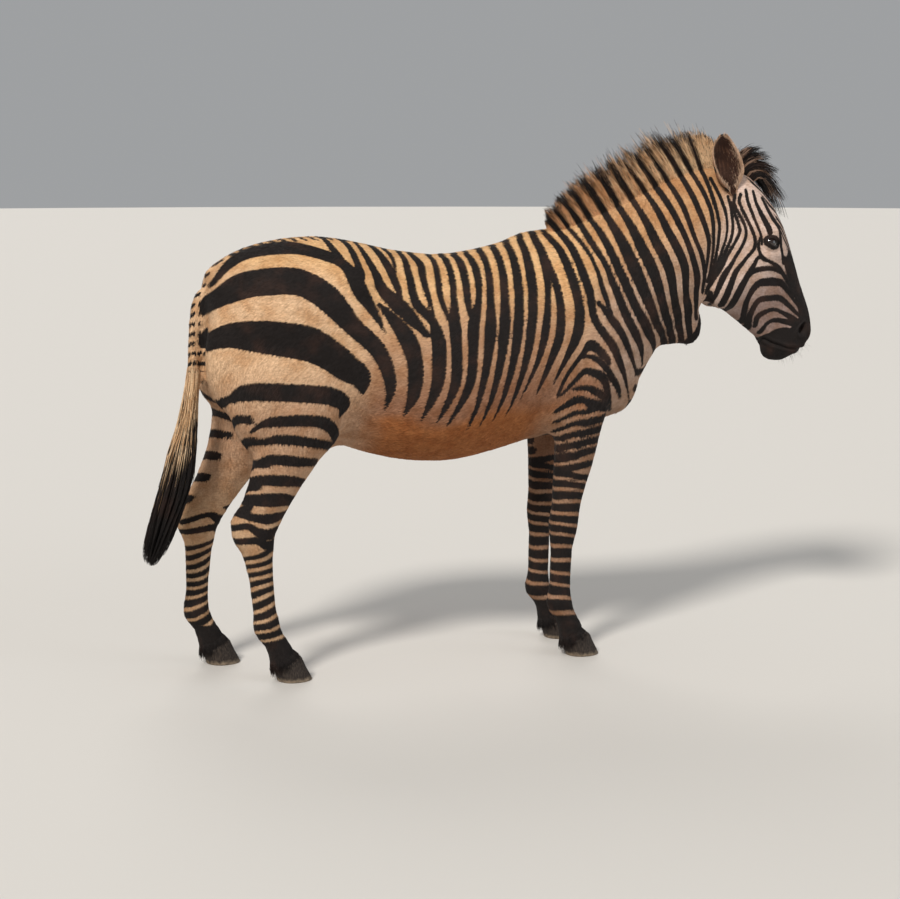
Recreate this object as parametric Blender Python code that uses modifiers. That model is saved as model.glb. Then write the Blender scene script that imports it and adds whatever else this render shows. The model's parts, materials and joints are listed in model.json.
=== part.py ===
"""A life-size standing mountain zebra, as a museum shows it, built from lofted and rounded forms.

Metres, +Z up. +X runs towards the nose, +Y to the animal's left. The floor is z = 0.
The body is modelled whole, from the same few sections that a sculptor would measure, then
parted by thin saw cuts where a person would name its parts.
"""

import math

import bmesh
import bpy
import numpy as np
from mathutils import Matrix, Vector

# ---------------------------------------------------------------- driving dimensions

# The withers stand 1.245 high, and every table below is in proportion to that.
BODY_VOXEL = 0.011         # cell of the first, fine surface of the whole body
SKIN_SMOOTHING = 24        # passes that melt the joined forms into one another
SMOOTHING_FACTOR = 0.5     # how far one pass moves a point towards its neighbours
BODY_TRIANGLES = 3700      # what the whole flesh is thinned to
SAW = 0.0006               # width of the cut between two parts of the body
LEAST_PART = 1e-5          # cubic metres: smaller crumbs of a cut are dropped
CLEARANCE = 0.0010         # gap round a piece that is set into the body
RING_POINTS = 28           # points round each lofted section
BODY_STEPS = 4             # sections made between two rows of a table of the body
LEG_STEPS = 3              # and between two rows of a leg
HAIR_STEPS = 2             # and between two rows of the mane, the forelock and the tail
SHARP_EDGE = 40            # degrees: a blunter edge is shaded smooth

NEAR, FAR = -1, 1          # the animal's right and left side

# Trunk sections, tail to breast: top x, z, bottom x, z, half width, height of the widest
# point as a share of the depth, and roundness of the upper and lower halves.
TRUNK = (
    (-0.850, 1.075, -0.835, 0.900, 0.070, 0.50, 2.0, 2.0),
    (-0.826, 1.145, -0.835, 0.800, 0.120, 0.50, 2.0, 2.1),
    (-0.745, 1.196, -0.760, 0.735, 0.178, 0.52, 1.9, 2.2),
    (-0.640, 1.223, -0.640, 0.700, 0.208, 0.55, 1.9, 2.2),
    (-0.530, 1.231, -0.520, 0.660, 0.216, 0.58, 2.0, 2.2),
    (-0.420, 1.216, -0.410, 0.618, 0.220, 0.50, 2.0, 2.2),
    (-0.290, 1.187, -0.290, 0.587, 0.234, 0.44, 2.0, 2.2),
    (-0.150, 1.175, -0.150, 0.578, 0.240, 0.42, 2.0, 2.2),
    (-0.020, 1.195, -0.020, 0.600, 0.228, 0.42, 1.9, 2.2),
    (0.100, 1.224, 0.090, 0.626, 0.204, 0.42, 1.8, 2.2),
    (0.205, 1.240, 0.200, 0.642, 0.179, 0.40, 1.7, 2.2),
    (0.290, 1.220, 0.320, 0.668, 0.160, 0.40, 1.8, 2.2),
    (0.350, 1.150, 0.405, 0.735, 0.138, 0.40, 2.0, 2.2),
    (0.400, 1.050, 0.440, 0.800, 0.095, 0.50, 2.0, 2.0),
)
# Neck sections, withers to poll. Same columns.
NECK = (
    (0.090, 1.205, 0.330, 0.760, 0.148, 0.40, 1.8, 2.2),
    (0.190, 1.243, 0.432, 0.775, 0.145, 0.38, 1.7, 2.2),
    (0.290, 1.288, 0.482, 0.838, 0.123, 0.36, 1.6, 2.1),
    (0.395, 1.335, 0.528, 0.892, 0.103, 0.38, 1.6, 2.0),
    (0.495, 1.382, 0.592, 0.922, 0.090, 0.40, 1.7, 1.9),
    (0.580, 1.412, 0.640, 0.965, 0.083, 0.42, 1.8, 1.9),
    (0.665, 1.428, 0.662, 1.035, 0.079, 0.44, 1.9, 2.0),
    (0.735, 1.418, 0.700, 1.120, 0.070, 0.46, 2.0, 2.0),
)
# Head sections, poll to lips: forehead and nose line above, jaw line below.
HEAD = (
    (0.752, 1.415, 0.690, 1.200, 0.060, 0.60, 2.2, 2.0),
    (0.800, 1.392, 0.672, 1.090, 0.078, 0.62, 2.3, 2.0),
    (0.848, 1.343, 0.668, 1.032, 0.088, 0.66, 2.5, 2.0),
    (0.896, 1.275, 0.692, 1.010, 0.091, 0.70, 2.6, 2.0),
    (0.931, 1.203, 0.733, 0.988, 0.083, 0.68, 2.5, 2.0),
    (0.960, 1.135, 0.778, 0.955, 0.070, 0.62, 2.3, 2.0),
    (0.985, 1.072, 0.824, 0.920, 0.058, 0.56, 2.2, 2.1),
    (1.006, 1.018, 0.858, 0.890, 0.053, 0.54, 2.3, 2.2),
    (1.022, 0.968, 0.868, 0.862, 0.056, 0.56, 2.4, 2.3),
    (1.026, 0.922, 0.886, 0.842, 0.056, 0.54, 2.4, 2.3),
    (1.001, 0.882, 0.920, 0.834, 0.044, 0.50, 2.2, 2.2),
    (0.976, 0.858, 0.944, 0.837, 0.024, 0.50, 2.0, 2.0),
)
# Leg sections: the bone they lie on, the share of the way down it, and how far the
# surface lies before, behind and beside the bone's line.
FORELEG = (
    ("upper", 0.00, 0.100, 0.090, 0.040),
    ("upper", 0.45, 0.105, 0.100, 0.056),
    ("upper", 1.00, 0.078, 0.082, 0.060),
    ("forearm", 0.30, 0.066, 0.062, 0.052),
    ("forearm", 0.60, 0.052, 0.050, 0.043),
    ("forearm", 0.85, 0.044, 0.043, 0.039),
    ("forearm", 1.00, 0.046, 0.043, 0.044),
    ("cannon", 0.12, 0.041, 0.041, 0.042),
    ("cannon", 0.30, 0.033, 0.036, 0.031),
    ("cannon", 0.60, 0.030, 0.035, 0.028),
    ("cannon", 0.85, 0.031, 0.036, 0.031),
    ("cannon", 1.00, 0.037, 0.043, 0.037),
    ("pastern", 0.35, 0.032, 0.035, 0.031),
    ("pastern", 0.75, 0.033, 0.033, 0.034),
    ("pastern", 1.40, 0.040, 0.040, 0.041),
)
HINDLEG = (
    ("thigh", 0.00, 0.120, 0.130, 0.050),
    ("thigh", 0.50, 0.165, 0.180, 0.082),
    ("thigh", 1.00, 0.115, 0.190, 0.084),
    ("gaskin", 0.22, 0.090, 0.135, 0.076),
    ("gaskin", 0.45, 0.073, 0.096, 0.062),
    ("gaskin", 0.68, 0.061, 0.076, 0.049),
    ("gaskin", 0.86, 0.057, 0.070, 0.042),
    ("gaskin", 1.00, 0.059, 0.072, 0.044),
    ("cannon", 0.12, 0.050, 0.060, 0.044),
    ("cannon", 0.28, 0.041, 0.044, 0.036),
    ("cannon", 0.55, 0.034, 0.037, 0.029),
    ("cannon", 0.82, 0.032, 0.037, 0.030),
    ("cannon", 1.00, 0.037, 0.042, 0.037),
    ("pastern", 0.35, 0.032, 0.035, 0.031),
    ("pastern", 0.75, 0.033, 0.033, 0.034),
    ("pastern", 1.40, 0.040, 0.040, 0.041),
)
# Joints of each leg, seen from the side: x, z and the distance from the middle line.
FORE_JOINTS = {
    NEAR: ((0.250, 0.900, 0.110), (0.222, 0.700, 0.125), (0.180, 0.395, 0.112),
           (0.172, 0.160, 0.112), (0.207, 0.078, 0.112)),
    FAR: ((0.250, 0.900, 0.110), (0.228, 0.700, 0.125), (0.198, 0.400, 0.112),
          (0.192, 0.160, 0.112), (0.228, 0.078, 0.112)),
}
HIND_JOINTS = {
    NEAR: ((-0.650, 0.960, 0.120), (-0.590, 0.745, 0.140), (-0.738, 0.430, 0.130),
           (-0.708, 0.155, 0.130), (-0.668, 0.078, 0.130)),
    FAR: ((-0.650, 0.960, 0.120), (-0.640, 0.735, 0.140), (-0.838, 0.425, 0.130),
          (-0.850, 0.155, 0.130), (-0.812, 0.078, 0.130)),
}
# Muscles and bony points that stand out of the lofts: x, y, z, the three half sizes, and
# the pitch about Y in degrees. A pair is mirrored to the other side.
PAIRED_FORMS = (
    ("shoulder_blade", 0.200, 0.072, 0.960, 0.120, 0.090, 0.220, 22),
    ("upper_arm", 0.265, 0.098, 0.830, 0.130, 0.080, 0.125, -25),
    ("elbow_muscle", 0.150, 0.112, 0.780, 0.115, 0.074, 0.125, 0),
    ("breast", 0.362, 0.052, 0.800, 0.075, 0.080, 0.110, 10),
    ("point_of_hip", -0.455, 0.120, 1.080, 0.110, 0.082, 0.082, 0),
    ("rump_muscle", -0.635, 0.102, 1.010, 0.180, 0.110, 0.180, -15),
    ("buttock", -0.762, 0.080, 0.930, 0.100, 0.072, 0.190, 8),
    ("thigh_muscle", -0.660, 0.120, 0.815, 0.150, 0.096, 0.205, 8),
    ("cheek", 0.740, 0.036, 1.098, 0.092, 0.049, 0.112, 28),
    ("brow", 0.860, 0.067, 1.222, 0.042, 0.032, 0.022, 50),
    ("cheekbone", 0.870, 0.050, 1.140, 0.020, 0.028, 0.080, -25),
    ("nostril_rim", 0.985, 0.032, 0.925, 0.036, 0.026, 0.042, -20),
)
SINGLE_FORMS = (
    ("withers", 0.130, 0.0, 1.185, 0.130, 0.045, 0.056, -8),
    ("dewlap", 0.600, 0.0, 0.968, 0.062, 0.040, 0.090, -25),
    ("dewlap_root", 0.556, 0.0, 0.974, 0.098, 0.050, 0.088, -32),
    ("chin", 0.906, 0.0, 0.863, 0.042, 0.038, 0.035, 0),
    ("upper_lip", 0.979, 0.0, 0.889, 0.034, 0.041, 0.034, 0),
    ("sheath", -0.500, 0.0, 0.672, 0.075, 0.038, 0.050, -20),
    ("tail_head", -0.772, 0.0, 1.092, 0.085, 0.045, 0.055, 36),
)
# Where the whole body is melted: all of it above TRUNK_MELT[1], none below TRUNK_MELT[0],
# and less from HEAD_KEPT[0] to HEAD_KEPT[1] along X, where the head's forms stay crisp.
TRUNK_MELT = (0.50, 0.75)
HEAD_KEPT = (0.50, 0.62)
HEAD_SHARE = 0.14          # share of the melting that still reaches the head
LEG_SHARE = 0.14           # and the lower legs

# The bony point of the hock: how far behind and above its joint, its half sizes and pitch.
HOCK_POINT_BACK = 0.046
HOCK_POINT_UP = 0.024
HOCK_POINT_SIZE = (0.027, 0.022, 0.042)
HOCK_POINT_PITCH = 16

# Tail, root to end: centre x, z, half width before and behind, half width across.
DOCK = (
    (-0.810, 1.086, 0.027, 0.027), (-0.842, 1.068, 0.026, 0.027), (-0.862, 1.025, 0.022, 0.025),
    (-0.870, 0.950, 0.020, 0.022), (-0.876, 0.864, 0.019, 0.020), (-0.884, 0.790, 0.018, 0.018),
)
TAIL_TUFT = (
    (-0.884, 0.790, 0.022, 0.022), (-0.898, 0.700, 0.031, 0.030), (-0.910, 0.642, 0.039, 0.036),
    (-0.921, 0.586, 0.044, 0.040), (-0.937, 0.530, 0.044, 0.041), (-0.956, 0.475, 0.041, 0.038),
    (-0.976, 0.420, 0.038, 0.034), (-0.996, 0.365, 0.031, 0.026), (-1.014, 0.330, 0.016, 0.014),
)
# Mane, withers to poll: tip x, z and root x, z. Forelock, poll to brow, the same way.
MANE = (
    (0.164, 1.262, 0.172, 1.210), (0.180, 1.310, 0.215, 1.222), (0.240, 1.366, 0.290, 1.258),
    (0.332, 1.420, 0.372, 1.300), (0.420, 1.458, 0.450, 1.334), (0.506, 1.494, 0.528, 1.364),
    (0.585, 1.516, 0.595, 1.384), (0.655, 1.512, 0.655, 1.392), (0.710, 1.496, 0.710, 1.390),
    (0.750, 1.478, 0.752, 1.382),
)
FORELOCK = (
    (0.764, 1.474, 0.758, 1.372), (0.815, 1.474, 0.776, 1.360), (0.858, 1.450, 0.793, 1.346),
    (0.892, 1.398, 0.808, 1.332), (0.912, 1.345, 0.822, 1.318), (0.922, 1.302, 0.838, 1.302),
    (0.909, 1.272, 0.862, 1.282),
)
MANE_HALF_WIDTH = 0.021
FORELOCK_HALF_WIDTH = 0.026
HAIR_WIDEST = 0.25         # height of a crest's widest point, as a share of its depth
HAIR_ROUNDNESS = (1.15, 2.0)   # of its upper half, nearly a straight edge, and its lower
TAIL_RING_POINTS = 12
TUFT_DROP = 3              # clearances that the tuft hangs below the end of the dock

# Ears: a leaf rolled into a cup, its opening turned outwards.
EAR_HALF_WIDTH = 0.068     # of the leaf laid flat, from its rib to its edge
EAR_WALL = 0.0055
EAR_ROWS = 8
EAR_COLUMNS = 7
EAR_ROOT_SHARE = 0.20      # how far up the whole leaf's outline the ear's root lies
EAR_FULLNESS = 0.62        # below 1 fills the leaf's outline out
EAR_POINT = 0.003          # half width that is left at the very tip
EAR_ROLL = 2.35            # radians that each half is rolled at the root
EAR_UNROLL = 1.45          # how much of that is gone at the tip
EAR_UNROLL_SPEED = 0.6     # below 1 opens the cup sooner
EAR_SET_IN = 0.6           # how far the rib lies behind the ear's axis, in radii
EAR_OPENING = (0.10, 0.10) # how far the opening turns forward and up, for 1 outwards
EAR_BASE = (0.735, 0.052, 1.325)
EAR_TIP = (0.684, 0.078, 1.508)

EYE_CENTRE = (0.846, 0.0780, 1.190)
EYE_RADIUS = 0.0215
EYE_SEGMENTS = 15

# Hooves: half length and half width at the coronet and at the sole, from above.
CORONET_HALF = (0.041, 0.041)
SOLE_HALF = (0.057, 0.048)
HOOF_HEIGHT = 0.072
CORONET_SLOPE = 0.36       # fall of the coronet from toe to heel
HEEL_SHARE = 0.80          # how far the heel reaches back, as a share of the toe's reach
HOOF_POINTS = 16
HOOF_FLARE = 0.8           # below 1 lets the wall flare out sooner
# Rings of a hoof: share of the way down, and how much smaller the ring is made.
HOOF_RINGS = ((0.0, 0.0), (0.10, -0.002), (0.5, 0.0), (0.95, 0.0), (1.0, 0.003))
HOOF_FORWARD = 0.009       # how far the coronet's middle lies before the end of the pastern
TOE_REACH = 0.022          # how far the sole's middle lies before the coronet's
END_BLOCK = (0.10, 0.075, 0.06)    # half sizes of the block that ends a leg at the coronet

# Saw cuts, as lines in the side view.
CUTS = {
    "head": ((0.752, 1.60), (0.664, 1.030), (0.702, 0.985)),
    "neck": ((0.142, 1.36), (0.490, 0.745)),
    "hindquarters": ((-0.395, 1.30), (-0.350, 0.540)),
    "foreleg": ((0.060, 0.600), (0.360, 0.648)),
    "hindleg": ((-0.950, 0.745), (-0.500, 0.652)),
    "knee": ((0.08, 0.392), (0.30, 0.404)),
    "hock_right": ((-0.86, 0.412), (-0.62, 0.440)),
    "hock_left": ((-0.96, 0.405), (-0.72, 0.430)),
}
SAW_REACH = 0.30           # how far a saw reaches to each side of the middle
LEGS_BELOW = 0.62          # a parted piece whose middle lies below this belongs to a leg
NECK_BEFORE = 0.27         # and one of the trunk's height before this is the neck

COLOURS = {
    "coat": (0.62, 0.50, 0.36, 1.0),
    "mane": (0.16, 0.10, 0.07, 1.0),
    "tail_hair": (0.05, 0.04, 0.035, 1.0),
    "hoof": (0.05, 0.045, 0.04, 1.0),
    "eye": (0.02, 0.012, 0.01, 1.0),
}
ROUGHNESS = {"coat": 0.85, "mane": 0.9, "tail_hair": 0.8, "hoof": 0.5, "eye": 0.08}


# ---------------------------------------------------------------- small helpers


def clear_scene():
    for obj in list(bpy.data.objects):
        bpy.data.objects.remove(obj)


def new_collection(name, rendered=True):
    collection = bpy.data.collections.new(name)
    collection.hide_render = not rendered
    bpy.context.scene.collection.children.link(collection)
    return collection


def new_material(name, roughness):
    material = bpy.data.materials.new(name)
    material.use_nodes = True
    shader = material.node_tree.nodes["Principled BSDF"]
    shader.inputs["Base Color"].default_value = COLOURS[name]
    shader.inputs["Roughness"].default_value = roughness
    shader.inputs["Metallic"].default_value = 0.0
    material.diffuse_color = COLOURS[name]
    return material


def ramp(value, low, high):
    """0 up to the low end, 1 from the high end on, and even between them."""
    return min(max((value - low) / (high - low), 0.0), 1.0)


def spline(rows, steps):
    """Points on a smooth curve through the rows, with so many steps between two rows."""
    rows = np.array(rows, float)
    padded = np.vstack([2 * rows[0] - rows[1], rows, 2 * rows[-1] - rows[-2]])
    found = []
    for i in range(1, len(padded) - 2):
        a, b, c, d = padded[i - 1:i + 3]
        for share in np.linspace(0, 1, steps, endpoint=False):
            found.append(0.5 * (2 * b + (c - a) * share
                                + (2 * a - 5 * b + 4 * c - d) * share ** 2
                                + (3 * b - 3 * c + d - a) * share ** 3))
    found.append(rows[-1])
    return np.array(found)


def superellipse(angle, power):
    """The point of a unit superellipse at this angle. A power of 2 is a circle."""
    c, s = math.cos(angle), math.sin(angle)
    return (math.copysign(abs(c) ** (2 / power), c), math.copysign(abs(s) ** (2 / power), s))


def section(top, bottom, y, half_width, widest, upper, lower):
    """A closed ring across the body, from a top and a bottom point in the side view."""
    top, bottom = Vector((top[0], y, top[1])), Vector((bottom[0], y, bottom[1]))
    middle = bottom.lerp(top, widest)
    ring = []
    for i in range(RING_POINTS):
        angle = 2 * math.pi * i / RING_POINTS
        across, along = superellipse(angle, upper if math.sin(angle) > 0 else lower)
        reach = top - middle if along > 0 else middle - bottom
        ring.append(middle + reach * along + Vector((0, half_width * across, 0)))
    return ring


def mesh_object(name, bm, collection):
    bmesh.ops.recalc_face_normals(bm, faces=bm.faces)
    mesh = bpy.data.meshes.new(name)
    bm.to_mesh(mesh)
    bm.free()
    obj = bpy.data.objects.new(name, mesh)
    collection.objects.link(obj)
    return obj


def loft(name, rings, collection):
    """A closed skin over rings that have the same number of points."""
    bm = bmesh.new()
    rows = [[bm.verts.new(point) for point in ring] for ring in rings]
    for row, after in zip(rows, rows[1:]):
        for i in range(len(row)):
            j = (i + 1) % len(row)
            bm.faces.new((row[i], row[j], after[j], after[i]))
    bm.faces.new(rows[0])
    bm.faces.new(rows[-1])
    bmesh.ops.triangulate(bm, faces=bm.faces)
    return mesh_object(name, bm, collection)


def body_loft(name, table, steps, collection):
    """A form of the body: its sections run smoothly through the rows of a table."""
    rings = [section(row[0:2], row[2:4], 0.0, *row[4:8]) for row in spline(table, steps)]
    return loft(name, rings, collection)


def ellipsoid(name, centre, sizes, pitch, collection, segments=24):
    """A rounded form, turned about Y by its pitch."""
    bm = bmesh.new()
    bmesh.ops.create_uvsphere(bm, u_segments=segments, v_segments=segments * 2 // 3, radius=1.0)
    turned = Matrix.Rotation(math.radians(pitch), 4, "Y")
    bm.transform(Matrix.Translation(centre) @ turned @ Matrix.Diagonal((*sizes, 1.0)))
    return mesh_object(name, bm, collection)


def apply_modifiers(obj):
    """The object's mesh as its modifiers leave it, kept as its own mesh."""
    graph = bpy.context.evaluated_depsgraph_get()
    made = bpy.data.meshes.new_from_object(obj.evaluated_get(graph))
    obj.modifiers.clear()
    obj.data = made
    return obj


def boolean(obj, other, operation):
    cut = obj.modifiers.new(operation.lower(), "BOOLEAN")
    cut.object, cut.operation, cut.solver = other, operation, "EXACT"
    return apply_modifiers(obj)


# ---------------------------------------------------------------- legs


def leg_rings(sections, joints, side, bones):
    """Rings square to the line of the joints, from the trunk down to the coronet."""
    points = [Vector((x, side * y, z)) for x, z, y in joints]
    starts = dict(zip(bones, zip(points, points[1:])))
    rows = []
    for bone, share, before, behind, beside in sections:
        start, end = starts[bone]
        centre = start.lerp(end, share)
        rows.append((*centre, before, behind, beside))
    rows = spline(rows, LEG_STEPS)
    rings = []
    for i, row in enumerate(rows):
        along = Vector(rows[min(i + 1, len(rows) - 1)][:3]) - Vector(rows[max(i - 1, 0)][:3])
        down = Vector((along.x, 0, along.z)).normalized()
        forward = Vector((-down.z, 0, down.x))
        centre, (before, behind, beside) = Vector(row[:3]), row[3:6]
        ring = []
        for k in range(RING_POINTS):
            angle = 2 * math.pi * k / RING_POINTS
            reach = before if math.cos(angle) > 0 else behind
            ring.append(centre + forward * (reach * math.cos(angle))
                        + Vector((0, beside * math.sin(angle), 0)))
        rings.append(ring)
    return rings


def make_legs(collection):
    pieces = []
    for side, word in ((NEAR, "right"), (FAR, "left")):
        rings = leg_rings(FORELEG, FORE_JOINTS[side], side,
                          ("upper", "forearm", "cannon", "pastern"))
        pieces.append(loft(f"foreleg_form_{word}", rings, collection))
        rings = leg_rings(HINDLEG, HIND_JOINTS[side], side,
                          ("thigh", "gaskin", "cannon", "pastern"))
        pieces.append(loft(f"hindleg_form_{word}", rings, collection))
        x, z, y = HIND_JOINTS[side][2]
        pieces.append(ellipsoid(f"hock_point_{word}",
                                (x - HOCK_POINT_BACK, side * y, z + HOCK_POINT_UP),
                                HOCK_POINT_SIZE, HOCK_POINT_PITCH, collection))
    return pieces


# ---------------------------------------------------------------- the whole body


def flesh_weight(point):
    """How much a point of the body is melted: all of the trunk, little of the lower legs."""
    x, _, z = point
    trunk = ramp(z, *TRUNK_MELT)
    head = ramp(x, *HEAD_KEPT)
    return max(LEG_SHARE, trunk * (1 - (1 - HEAD_SHARE) * head))


def weigh(obj, name, rule):
    group = obj.vertex_groups.new(name=name)
    for vertex in obj.data.vertices:
        group.add((vertex.index,), rule(vertex.co), "REPLACE")


def make_body(collection):
    pieces = [
        body_loft("trunk_form", TRUNK, BODY_STEPS, collection),
        body_loft("neck_form", NECK, BODY_STEPS, collection),
        body_loft("head_form", HEAD, BODY_STEPS, collection),
    ]
    pieces += make_legs(collection)
    for name, x, y, z, sx, sy, sz, pitch in PAIRED_FORMS:
        for side in (NEAR, FAR):
            pieces.append(ellipsoid(name, (x, side * y, z), (sx, sy, sz), pitch, collection))
    for name, x, y, z, sx, sy, sz, pitch in SINGLE_FORMS:
        pieces.append(ellipsoid(name, (x, y, z), (sx, sy, sz), pitch, collection))
    whole = bmesh.new()
    for piece in pieces:
        whole.from_mesh(piece.data)
        bpy.data.objects.remove(piece)
    body = mesh_object("body", whole, collection)
    remesh = body.modifiers.new("whole", "REMESH")
    remesh.mode, remesh.voxel_size = "VOXEL", BODY_VOXEL
    apply_modifiers(body)
    weigh(body, "flesh", flesh_weight)
    smooth = body.modifiers.new("melt", "SMOOTH")
    smooth.factor, smooth.iterations = SMOOTHING_FACTOR, SKIN_SMOOTHING
    smooth.vertex_group = "flesh"
    apply_modifiers(body)
    thin = body.modifiers.new("thin", "DECIMATE")
    thin.ratio = BODY_TRIANGLES / (2 * len(body.data.polygons))
    thin.use_collapse_triangulate = True
    return apply_modifiers(body)


# ---------------------------------------------------------------- pieces set into the body


def grown(body, collection):
    """A copy of the body that is larger all round by the clearance, to cut other pieces."""
    copy = bpy.data.objects.new("body_grown", body.data.copy())
    collection.objects.link(copy)
    push = copy.modifiers.new("grow", "DISPLACE")
    push.strength, push.mid_level = CLEARANCE, 0.0
    return apply_modifiers(copy)


def round_loft(name, table, collection):
    """A tail-like tube: each row gives the centre x, z and half widths along X and across."""
    rows = spline(table, HAIR_STEPS)
    angles = np.linspace(0, 2 * math.pi, TAIL_RING_POINTS, endpoint=False)
    rings = []
    for i, (x, z, deep, wide) in enumerate(rows):
        after, before = rows[min(i + 1, len(rows) - 1)], rows[max(i - 1, 0)]
        down = Vector((after[0] - before[0], 0, after[1] - before[1])).normalized()
        square = Vector((-down.z, 0, down.x))
        rings.append([Vector((x, 0, z)) + square * deep * math.cos(a)
                      + Vector((0, wide * math.sin(a), 0)) for a in angles])
    return loft(name, rings, collection)


def make_hair(body, collection):
    """The mane and forelock as closed crests that end at the tips of the hair."""
    pieces = []
    for name, table, half in (("mane", MANE, MANE_HALF_WIDTH),
                              ("forelock", FORELOCK, FORELOCK_HALF_WIDTH)):
        rings = []
        for row in spline(table, HAIR_STEPS):
            ring = section(row[0:2], row[2:4], 0.0, half, HAIR_WIDEST, *HAIR_ROUNDNESS)
            rings.append(ring[::2])
        pieces.append(boolean(loft(name, rings, collection), body, "DIFFERENCE"))
    return pieces


def make_ear(side, name, collection):
    """A leaf-shaped sheet, rolled tight at its root and opening outwards, given a wall."""
    base = Vector((EAR_BASE[0], side * EAR_BASE[1], EAR_BASE[2]))
    tip = Vector((EAR_TIP[0], side * EAR_TIP[1], EAR_TIP[2]))
    along = (tip - base).normalized()
    opening = Vector((EAR_OPENING[0], side, EAR_OPENING[1]))
    opening = (opening - along * opening.dot(along)).normalized()
    across = along.cross(opening)
    bm = bmesh.new()
    rows = []
    for v in np.linspace(0, 1, EAR_ROWS):
        up = min(1.0, EAR_ROOT_SHARE + (1 - EAR_ROOT_SHARE) * v)
        leaf = EAR_HALF_WIDTH * math.sin(math.pi * up) ** EAR_FULLNESS + EAR_POINT
        roll = EAR_ROLL - EAR_UNROLL * v ** EAR_UNROLL_SPEED
        radius = leaf / roll
        middle = base.lerp(tip, v) - opening * radius * EAR_SET_IN
        rows.append([bm.verts.new(middle + across * radius * math.sin(u * roll)
                                  + opening * radius * (1 - math.cos(u * roll)))
                     for u in np.linspace(-1, 1, EAR_COLUMNS)])
    for row, after in zip(rows, rows[1:]):
        for i in range(len(row) - 1):
            bm.faces.new((row[i], row[i + 1], after[i + 1], after[i]))
    ear = mesh_object(name, bm, collection)
    wall = ear.modifiers.new("wall", "SOLIDIFY")
    wall.thickness, wall.offset, wall.use_even_offset = EAR_WALL, 0.0, True
    return apply_modifiers(ear)


def coronet_height(forward):
    """Height of the tilted coronet, so far before the middle of the hoof."""
    return HOOF_HEIGHT + CORONET_SLOPE * (forward - CORONET_HALF[0])


def make_hoof(name, coronet, side, collection):
    """A hoof from a tilted coronet down to a flat sole on the floor."""
    x, _, y = coronet
    x += HOOF_FORWARD
    rings = []
    for share, trim in HOOF_RINGS:
        length, width = (top + (sole - top) * share ** HOOF_FLARE - trim
                         for top, sole in zip(CORONET_HALF, SOLE_HALF))
        ring = []
        for angle in np.linspace(0, 2 * math.pi, HOOF_POINTS, endpoint=False):
            reach = math.cos(angle) * (1.0 if math.cos(angle) > 0 else HEEL_SHARE)
            top = coronet_height(CORONET_HALF[0] * reach)
            ring.append(Vector((x + TOE_REACH * share + length * reach,
                                side * y + width * math.sin(angle), top * (1 - share))))
        rings.append(ring)
    return loft(name, rings, collection)


def under_coronet(coronet, side, collection):
    """A block whose top is the coronet's plane, to end the flesh of the leg there."""
    x, _, y = coronet
    bm = bmesh.new()
    bmesh.ops.create_cube(bm, size=2.0)
    bm.transform(Matrix.Translation((x + HOOF_FORWARD, side * y, coronet_height(0.0) + CLEARANCE))
                 @ Matrix.Rotation(-math.atan(CORONET_SLOPE), 4, "Y")
                 @ Matrix.Diagonal((*END_BLOCK, 1.0))
                 @ Matrix.Translation((0, 0, -1.0)))
    return mesh_object("under_coronet", bm, collection)


def eyeball(name, side, radius, collection):
    """A ball whose poles lie fore and aft, so that its facets are even where it shows."""
    centre = (EYE_CENTRE[0], side * EYE_CENTRE[1], EYE_CENTRE[2])
    return ellipsoid(name, centre, (radius,) * 3, 90, collection, segments=EYE_SEGMENTS)


# ---------------------------------------------------------------- parting


def saw_blade(name, line, sides, collection):
    """A thin wall through the body along a line of the side view."""
    low, high = sides
    points = [Vector((x, z)) for x, z in line]
    edges = [], []
    for i, point in enumerate(points):
        steps = [(b - a).normalized() for a, b in zip(points, points[1:])]
        along = (steps[max(i - 1, 0)] + steps[min(i, len(steps) - 1)]).normalized()
        square = Vector((-along.y, along.x)) * SAW / 2
        edges[0].append(point + square)
        edges[1].append(point - square)
    outline = edges[0] + edges[1][::-1]
    bm = bmesh.new()
    face = bm.faces.new([bm.verts.new((p.x, low, p.y)) for p in outline])
    made = bmesh.ops.extrude_face_region(bm, geom=[face])["geom"]
    bmesh.ops.translate(bm, vec=(0, high - low, 0),
                        verts=[v for v in made if isinstance(v, bmesh.types.BMVert)])
    return mesh_object(name, bm, collection)


def sawn(parts, name, line, sides, collection):
    """The parts after one saw cut, which touches only those that its line crosses."""
    blade = saw_blade(f"saw_{name}", line, sides, collection)
    reach = [Vector(corner) for corner in blade.bound_box]
    left = []
    for part in parts:
        corners = [Vector(corner) for corner in part.bound_box]
        apart = any(min(c[i] for c in corners) > max(c[i] for c in reach)
                    or max(c[i] for c in corners) < min(c[i] for c in reach) for i in range(3))
        left += [part] if apart else loose_parts(boolean(part, blade, "DIFFERENCE"), collection)
    return left


def loose_parts(obj, collection):
    """The separate bodies of an object as objects of their own, without the crumbs."""
    bm = bmesh.new()
    bm.from_mesh(obj.data)
    bm.verts.index_update()
    seen = set()
    groups = []
    for first in bm.verts:
        if first in seen:
            continue
        seen.add(first)
        stack, group = [first], []
        while stack:
            vertex = stack.pop()
            group.append(vertex)
            for edge in vertex.link_edges:
                other = edge.other_vert(vertex)
                if other not in seen:
                    seen.add(other)
                    stack.append(other)
        groups.append(sorted(group, key=lambda found: found.index))
    made = []
    for group in groups:
        part = bmesh.new()
        copies = {v: part.verts.new(v.co) for v in group}
        for face in dict.fromkeys(f for v in group for f in v.link_faces):
            part.faces.new([copies[v] for v in face.verts])
        if part.calc_volume() < LEAST_PART:
            part.free()
            continue
        made.append(mesh_object("part", part, collection))
    bm.free()
    bpy.data.objects.remove(obj)
    return made


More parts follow.
